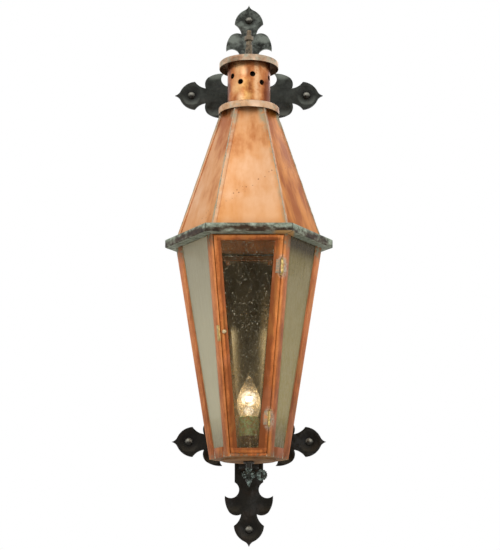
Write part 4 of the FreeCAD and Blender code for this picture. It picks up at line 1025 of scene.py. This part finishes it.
def solder_recipe():
    """A lumpy bead along every path: its width and its line wander."""
    recipe = Recipe("solder_bead", {"Half Width": "Float", "Wander": "Float", "Finish": "Material"})
    curve = recipe.node("GeometryNodeMeshToCurve", sockets={"Mesh": recipe.given("Geometry")})
    close = recipe.node("GeometryNodeResampleCurve", {"mode": "LENGTH"}, {
        "Curve": curve, "Length": BEAD_STEP})
    width = recipe.node("ShaderNodeTexNoise", sockets={"Scale": 120.0, "Detail": 3.0})
    drift = recipe.node("ShaderNodeTexNoise", sockets={"Scale": 60.0, "Detail": 2.0}, output=1)
    centred = recipe.node("ShaderNodeVectorMath", {"operation": "SUBTRACT"}, {0: drift, 1: (0.5, 0.5, 0.5)})
    offset = recipe.node("ShaderNodeVectorMath", {"operation": "SCALE"}, {
        0: centred, "Scale": recipe.given("Wander")})
    moved = recipe.node("GeometryNodeSetPosition", sockets={"Geometry": close, "Offset": offset})
    lumpy = recipe.given("Half Width") * (0.35 + width * 1.3)
    return recipe.close(recipe.tube(moved, BEAD_SIDES, 1.0, lumpy))


def seed_recipe():
    """Seed bubbles scattered over a pane's face, flattened into it and drawn out one way."""
    recipe = Recipe("glass_seeds", {
        "Half Width": "Float", "Density": "Float", "Seed": "Int", "Finish": "Material"})
    points = recipe.node("GeometryNodeDistributePointsOnFaces", sockets={
        "Mesh": recipe.given("Geometry"), "Density": recipe.given("Density"), "Seed": recipe.given("Seed")})
    bubble = recipe.node("GeometryNodeMeshUVSphere", sockets={"Segments": 6, "Rings": 4, "Radius": 1.0})
    spread = recipe.node("FunctionNodeRandomValue", {"data_type": "FLOAT"}, {
        2: 0.35, 3: 1.5, "Seed": recipe.given("Seed")}, output=1)
    size = recipe.given("Half Width") * spread
    shape = recipe.node("ShaderNodeCombineXYZ", sockets={0: size, 1: size * 1.3, 2: size * 0.6})
    placed = recipe.node("GeometryNodeInstanceOnPoints", sockets={
        "Points": points, "Instance": bubble, "Rotation": points.other("Rotation"), "Scale": shape})
    return recipe.close(placed)


def coil_recipe():
    """A wire wound into a helix: used for the stud's thread and the lamp's filament."""
    recipe = Recipe("wound_wire", {
        "Turns": "Float", "Foot Radius": "Float", "Head Radius": "Float", "Height": "Float", "Wire": "Float",
        "Foot": "Vector", "Sides": "Int", "Finish": "Material"})
    helix = recipe.node("GeometryNodeCurveSpiral", sockets={
        "Resolution": SPIRAL_STEPS, "Rotations": recipe.given("Turns"), "Height": recipe.given("Height"),
        "Start Radius": recipe.given("Foot Radius"), "End Radius": recipe.given("Head Radius")})
    moved = recipe.node("GeometryNodeSetPosition", sockets={
        "Geometry": helix, "Offset": recipe.given("Foot")})
    return recipe.close(recipe.tube(moved, recipe.given("Sides"), recipe.given("Wire")))


def solder(name, paths, half_width, wander, finish, slot):
    """Lay a bead of solder along paths on the lantern."""
    bead = solder_recipe().cook(path_mesh(name + "_lines", paths), {
        "Half Width": half_width, "Wander": wander, "Finish": finish})
    put(name, bead, finish, "lantern")


def wind(name, finish, values):
    """Wind a wire on the lantern's axis, with these values of the recipe's inputs."""
    wire = coil_recipe().cook(path_mesh(name + "_line", []), {**values, "Finish": finish})
    put(name, wire, finish, "lantern")


# Operators, one for each group of like pieces

class LanternOperator:
    """What every operator here shares: the settings and the way it ends."""
    bl_options = {"REGISTER", "UNDO"}

    def execute(self, context):
        self.build(context.scene.lantern_sizes, context.scene.lantern_colours)
        return {"FINISHED"}


class LANTERN_OT_wall_bracket(LanternOperator, bpy.types.Operator):
    """Forge the strap, cross bars, arms and canopy, and set their screws and bolts"""
    bl_idname = "lantern.wall_bracket"
    bl_label = "Wall Bracket"

    def build(self, sizes, tones):
        iron = forged_iron(tones, "forged_iron", rust=0.1)
        for node in ("back_strap", "upper_cross_bar", "lower_cross_bar"):
            dress(node, iron, sizes.iron_edge)
        for node in ("upper_arm", "junction_canopy"):
            dress(node, iron, sizes.sheet_edge)
        dress("lower_arm", forged_iron(tones, "arm_iron", rust=0.8), sizes.sheet_edge)
        # The screw heads' pale tone is their painted highlight.
        dress("wall_screws", dark_steel("screw_steel", shade(40, 37, 32), shade(168, 165, 152)), 0)
        dress("bracket_bolts", bolt_steel(), 0)


class LANTERN_OT_roof(LanternOperator, bpy.types.Operator):
    """Lay the six roof sheets and solder their hips"""
    bl_idname = "lantern.roof"
    bl_label = "Roof"

    def build(self, sizes, tones):
        copper = roof_copper(tones)
        hips = []
        for face, name in enumerate(FACES):
            node = name + "_roof"
            dress(node, copper, sizes.sheet_edge, inside_copper())
            corner = face_normal(face) + face_normal(face + 1)
            hips.append([furthest(node, corner - UP), furthest(node, corner * SLIGHT + UP)])
        grey = solder_finish(tones, "hip_solder", bloomed=0.5, coppery=0.5)
        solder("hip_solder", hips, sizes.hip_bead, 1.4 * MM, grey, "roof_copper")


class LANTERN_OT_crown(LanternOperator, bpy.types.Operator):
    """Fit the crown band"""
    bl_idname = "lantern.crown"
    bl_label = "Crown Band"

    def build(self, sizes, tones):
        dress("crown_band", crown_copper(tones), 0, inside_copper(), soffit=False)


class LANTERN_OT_chimney(LanternOperator, bpy.types.Operator):
    """Raise the chimney with its collar, cap, bridge, threaded stud and nuts"""
    bl_idname = "lantern.chimney"
    bl_label = "Chimney"

    def build(self, sizes, tones):
        soot = smoked_copper(
            "chimney_soot", shade(64, 50, 38), shade(108, 87, 67), shade(160, 140, 114), share=0.25)
        dress("chimney", chimney_copper(tones), 0, soot)
        dress("cap_bridge", soot, 0)
        cap = cap_copper("cap_copper", shade(198, 164, 134), crusted=0.12)
        dress("chimney_cap", cap, sizes.sheet_edge, soot)
        collar = cap_copper("collar_copper", shade(214, 170, 128), crusted=0.06)
        dress("chimney_collar", collar, sizes.sheet_edge, soot)
        steel = dark_steel("stud_steel", shade(84, 74, 60), shade(170, 150, 124))
        dress("cap_stud", steel, 0)
        dress("cap_nuts", steel, sizes.sheet_edge)
        self.thread(sizes.thread_pitch, steel)

    def thread(self, pitch, steel):
        """The stud's thread where it stands out of the upper nut."""
        wire = pitch * THREAD_SHARE
        foot = high("cap_nuts").z
        rise = high("cap_stud").z - foot - 2 * wire
        radius = (high("cap_stud").x - low("cap_stud").x) / 2
        wind("stud_thread", steel, {
            "Turns": rise / pitch, "Foot Radius": radius, "Head Radius": radius, "Height": rise,
            "Wire": wire, "Foot": AXIS + UP * (foot + wire), "Sides": 6})


class LANTERN_OT_frame(LanternOperator, bpy.types.Operator):
    """Stand the posts, rails, sill and base, and solder their joints"""
    bl_idname = "lantern.frame"
    bl_label = "Body Frame"

    def build(self, sizes, tones):
        copper = frame_copper(tones, "frame_copper", post_ribs, crusted=1.0, dim=0.01)
        dull = smoked_copper(
            "dull_copper", shade(150, 124, 84), shade(196, 168, 122), shade(214, 188, 142), share=0.5)
        for name in CORNERS:
            dress(name + "_post", copper, sizes.sheet_edge, dull)
        joints = []
        for face, name in enumerate(FACES):
            node = "front_sill" if name == "front" else name + "_rail"
            dress(node, copper, sizes.sheet_edge)
            for side in SIDES:
                across = face_run(face) * side + face_normal(face) * 0.1
                joints.append([furthest(node, across - UP * STEEP), furthest(node, across + UP)])
        base = smoked_copper(
            "base_copper", shade(92, 60, 36), shade(140, 98, 60), shade(178, 140, 96), share=0.3)
        dress("base_plate", base, sizes.sheet_edge)
        dress("pane_clips", inside_copper(), 0)
        grey = solder_finish(tones, "frame_solder", bloomed=0.25, coppery=0.8)
        solder("frame_solder", joints, sizes.frame_bead, 1.0 * MM, grey, "frame_copper")


class LANTERN_OT_panes(LanternOperator, bpy.types.Operator):
    """Glaze the five fixed sides"""
    bl_idname = "lantern.panes"
    bl_label = "Fixed Panes"

    def build(self, sizes, tones):
        glass = pane_glass(tones)
        for name in FACES[1:]:
            dress(name + "_pane", smoked_glass() if name == "rear" else glass, 0)


# Sorts of seed bubble: name, then size and density as shares of what is set
SEED_SORTS = (("fine", 1.0, 1.9), ("coarse", 1.6, 0.13))


class LANTERN_OT_door(LanternOperator, bpy.types.Operator):
    """Hang the door: its frame, seeded glass, knob, catch and hinges"""
    bl_idname = "lantern.door"
    bl_label = "Door"

    def build(self, sizes, tones):
        copper = frame_copper(tones, "door_copper", door_ribs, crusted=0.0, dim=0.095)
        for node in ("door_top_rail", "door_bottom_rail", "door_hinge_stile", "door_latch_stile"):
            dress(node, copper, sizes.sheet_edge)
        dress("door_glass_clips", inside_copper(), 0)
        dress("door_glass", door_pane_glass(tones), 0)
        # The knob's pale film is a painted highlight.
        dress("door_knob", brass_finish(tones, "rubbed_brass", shade(255, 244, 214), share=1.3), 0)
        brass = brass_finish(tones, "brass_fittings", shade(134, 128, 104), share=0.6)
        dress("hinge_pins", brass, 0)
        dress("door_catch", brass, sizes.fine_edge)
        hinge = hinge_finish()
        for node in ("hinge_frame_leaves", "hinge_door_leaves"):
            dress(node, hinge, sizes.fine_edge)
        self.seeds(sizes)

    def seeds(self, sizes):
        """Seed bubbles in the front skin of the door's glass, many small and some large."""
        corners = [furthest("door_glass", Vector((side, -1, rise)))
                   for side, rise in ((-1, -1), (1, -1), (1, 1), (-1, 1))]
        glass = seed_glass()
        recipe = seed_recipe()
        for seed, (name, grow, share) in enumerate(SEED_SORTS):
            field = bpy.data.meshes.new("seed_field")
            field.from_pydata(corners, [], [range(4)])
            mesh = recipe.cook(field, {
                "Half Width": sizes.seed * grow, "Density": sizes.seed_density * share, "Seed": seed,
                "Finish": glass})
            put(name + "_glass_seeds", mesh, glass, "door")


# Inside the lamp, in millimetres: the stem's radii and heights over its foot, and two balls of light, each
# its middle's height over the socket, half width, half height and grain, then its cover and strength
STEM_FOOT = SOCKET_HEAD + 0.3 * MM
STEM_PROFILE = ((0, 0), (5.5, 0), (4.4, 6), (2.0, 13), (1.6, 21), (0, 22))
STEM_SIDES = 20
HAZES = {
    "filament_haze": (33, 14, 13, 8, 1.0, 3.4),
    "neck_haze": (11, 8.5, 8, 2.5, 0.9, 2.2),
}
HAZE_STEPS = 12


class LANTERN_OT_lamp(LanternOperator, bpy.types.Operator):
    """Fit the lamp: socket, cup and a clear torpedo bulb with its filament"""
    bl_idname = "lantern.lamp"
    bl_label = "Lamp"

    def build(self, sizes, tones):
        green = powdery_brass(
            "socket_green", shade(216, 174, 104), shade(202, 240, 142), shade(236, 255, 190),
            cover=0.18, grain=0.006)
        dress("socket_sleeve", green, sizes.sheet_edge)
        brown = powdery_brass(
            "dark_cup", shade(96, 48, 12), shade(190, 106, 30), shade(226, 158, 66),
            cover=0.02, grain=0.0045)
        dress("socket_cup", brown, sizes.sheet_edge)
        dress("bulb", lamp_glass(tones), 0)
        stem = mesh_from(turned(STEM_PROFILE, STEM_FOOT, STEM_SIDES), "bulb_stem")
        put("bulb_stem", stem, stem_glass(), "lantern")
        wind("bulb_filament", filament_glow(), {
            "Turns": 5.0, "Foot Radius": 4 * MM, "Head Radius": 6.5 * MM, "Height": 8 * MM,
            "Wire": sizes.filament_wire, "Foot": AXIS + UP * (FILAMENT - 4 * MM), "Sides": 8})
        for name, (middle, half_width, half_height, grain, cover, strength) in HAZES.items():
            turns = [math.pi * step / HAZE_STEPS for step in range(HAZE_STEPS + 1)]
            profile = [(half_width * math.sin(turn), middle - half_height * math.cos(turn)) for turn in turns]
            ball = mesh_from(turned(profile, SOCKET_HEAD, 2 * HAZE_STEPS), name)
            put(name, ball, glow_haze(tones, name, grain * MM, cover, strength), "lantern")


class LANTERN_OT_gas_cock(LanternOperator, bpy.types.Operator):
    """Hang the gas cock with its turning key, and the feed pipe with its locknuts"""
    bl_idname = "lantern.gas_cock"
    bl_label = "Gas Cock"

    def build(self, sizes, tones):
        verdigris = powdery_brass(
            "green_brass", shade(38, 39, 33), shade(84, 95, 87), shade(150, 168, 160),
            cover=0.13, grain=0.0036)
        for node in ("valve_body", "valve_key", "plug_nut"):
            dress(node, verdigris, sizes.fine_edge)
        for node in ("pipe_locknuts", "feed_pipe"):
            dress(node, bolt_steel(), sizes.fine_edge)


# Soft lights: name, place, size and power
LIGHTS = (
    ("key_light", (-1.1, -2.2, 2.0), 1.7, 11),
    ("fill_light", (1.1, -2.7, -0.1), 1.0, 9),
    ("back_light", (0.6, 2.4, 1.6), 1.8, 24),
)
FLOOR_RADIUS = 9
SENSOR = 36


class LANTERN_OT_stage(LanternOperator, bpy.types.Operator):
    """Set the floor, soft lights, white surroundings and camera"""
    bl_idname = "lantern.stage"
    bl_label = "Stage"

    def build(self, sizes, tones):
        stage = bpy.context.scene.lantern_stage
        self.floor(stage.floor_drop)
        self.surroundings(stage.sky)
        for name, place, size, power in LIGHTS:
            self.soft_light(name, Vector(place), size, power)
        self.camera(stage)

    def floor(self, height):
        f = Finish("pale_floor")
        tone = f.ramp(f.clouds(0.6, 2, 0.55), (0.3, shade(236, 236, 234)), (0.7, shade(240, 240, 238)))
        shape = bmesh.new()
        bmesh.ops.create_circle(shape, cap_ends=True, segments=64, radius=FLOOR_RADIUS)
        bmesh.ops.translate(shape, verts=shape.verts, vec=UP * height)
        mesh = bpy.data.meshes.new("floor")
        shape.to_mesh(mesh)
        shape.free()
        mesh.materials.append(f.done(base_color=tone, roughness=0.8, specular_ior_level=0.1))
        floor = bpy.data.objects.new("floor", mesh)
        bpy.context.scene.collection.objects.link(floor)

    def surroundings(self, sky):
        """White to the camera, in reflections and through glass, and a softer light on matt surfaces."""
        scene = bpy.context.scene
        scene.world = bpy.data.worlds.new("studio")
        scene.world.use_nodes = True
        world = Sheet(scene.world.node_tree)
        world.tree.nodes.clear()
        camera_ray = world.node("ShaderNodeLightPath", output="Is Camera Ray")
        direct = camera_ray.most(camera_ray.other("Is Glossy Ray"))
        direct = direct.most(camera_ray.other("Is Transmission Ray"))
        light = world.node("ShaderNodeBackground", sockets={
            "Color": (1, 1, 1, 1), "Strength": sky + direct * (1 - sky)})
        world.node("ShaderNodeOutputWorld", sockets={"Surface": light})
        scene.view_settings.view_transform = "Standard"

    def soft_light(self, name, place, size, power):
        """A square light that faces the lantern's middle."""
        light = bpy.data.lights.new(name, "AREA")
        light.size = size
        light.energy = power
        lamp = bpy.data.objects.new(name, light)
        lamp.location = place
        lamp.rotation_euler = (AXIS - place).to_track_quat("-Z", "Y").to_euler()
        lamp.visible_camera = False
        bpy.context.scene.collection.objects.link(lamp)

    def camera(self, stage):
        lens = bpy.data.cameras.new("camera")
        lens.lens = stage.lens
        lens.sensor_width = SENSOR
        camera = bpy.data.objects.new("camera", lens)
        camera.location = stage.eye
        camera.rotation_euler = (math.pi / 2 + stage.pitch, 0, 0)
        bpy.context.scene.collection.objects.link(camera)
        bpy.context.scene.camera = camera


OPERATORS = (
    LANTERN_OT_wall_bracket, LANTERN_OT_roof, LANTERN_OT_crown, LANTERN_OT_chimney, LANTERN_OT_frame,
    LANTERN_OT_panes, LANTERN_OT_door, LANTERN_OT_lamp, LANTERN_OT_gas_cock, LANTERN_OT_stage,
)
GROUPS = {
    "lantern_sizes": LanternSizes,
    "lantern_colours": LanternColours,
    "lantern_stage": LanternStage,
}


class LANTERN_PT_sidebar(bpy.types.Panel):
    """Lists the lantern's operators in the order in which they run, and their settings"""
    bl_idname = "LANTERN_PT_sidebar"
    bl_label = "Copper Wall Lantern"
    bl_space_type = "VIEW_3D"
    bl_region_type = "UI"
    bl_category = "Lantern"

    def draw(self, context):
        for operator in OPERATORS:
            self.layout.operator(operator.bl_idname)
        for group in GROUPS:
            settings = getattr(context.scene, group)
            box = self.layout.box()
            for name in settings.__annotations__:
                box.prop(settings, name)


CLASSES = (*GROUPS.values(), *OPERATORS, LANTERN_PT_sidebar)


def register():
    for kind in CLASSES:
        bpy.utils.register_class(kind)
    for name, group in GROUPS.items():
        setattr(bpy.types.Scene, name, bpy.props.PointerProperty(type=group))


def unregister():
    for name in GROUPS:
        delattr(bpy.types.Scene, name)
    for kind in reversed(CLASSES):
        bpy.utils.unregister_class(kind)


def main():
    register()
    for operator in OPERATORS:
        family, action = operator.bl_idname.split(".")
        getattr(getattr(bpy.ops, family), action)()


if __name__ == "__main__":
    main()
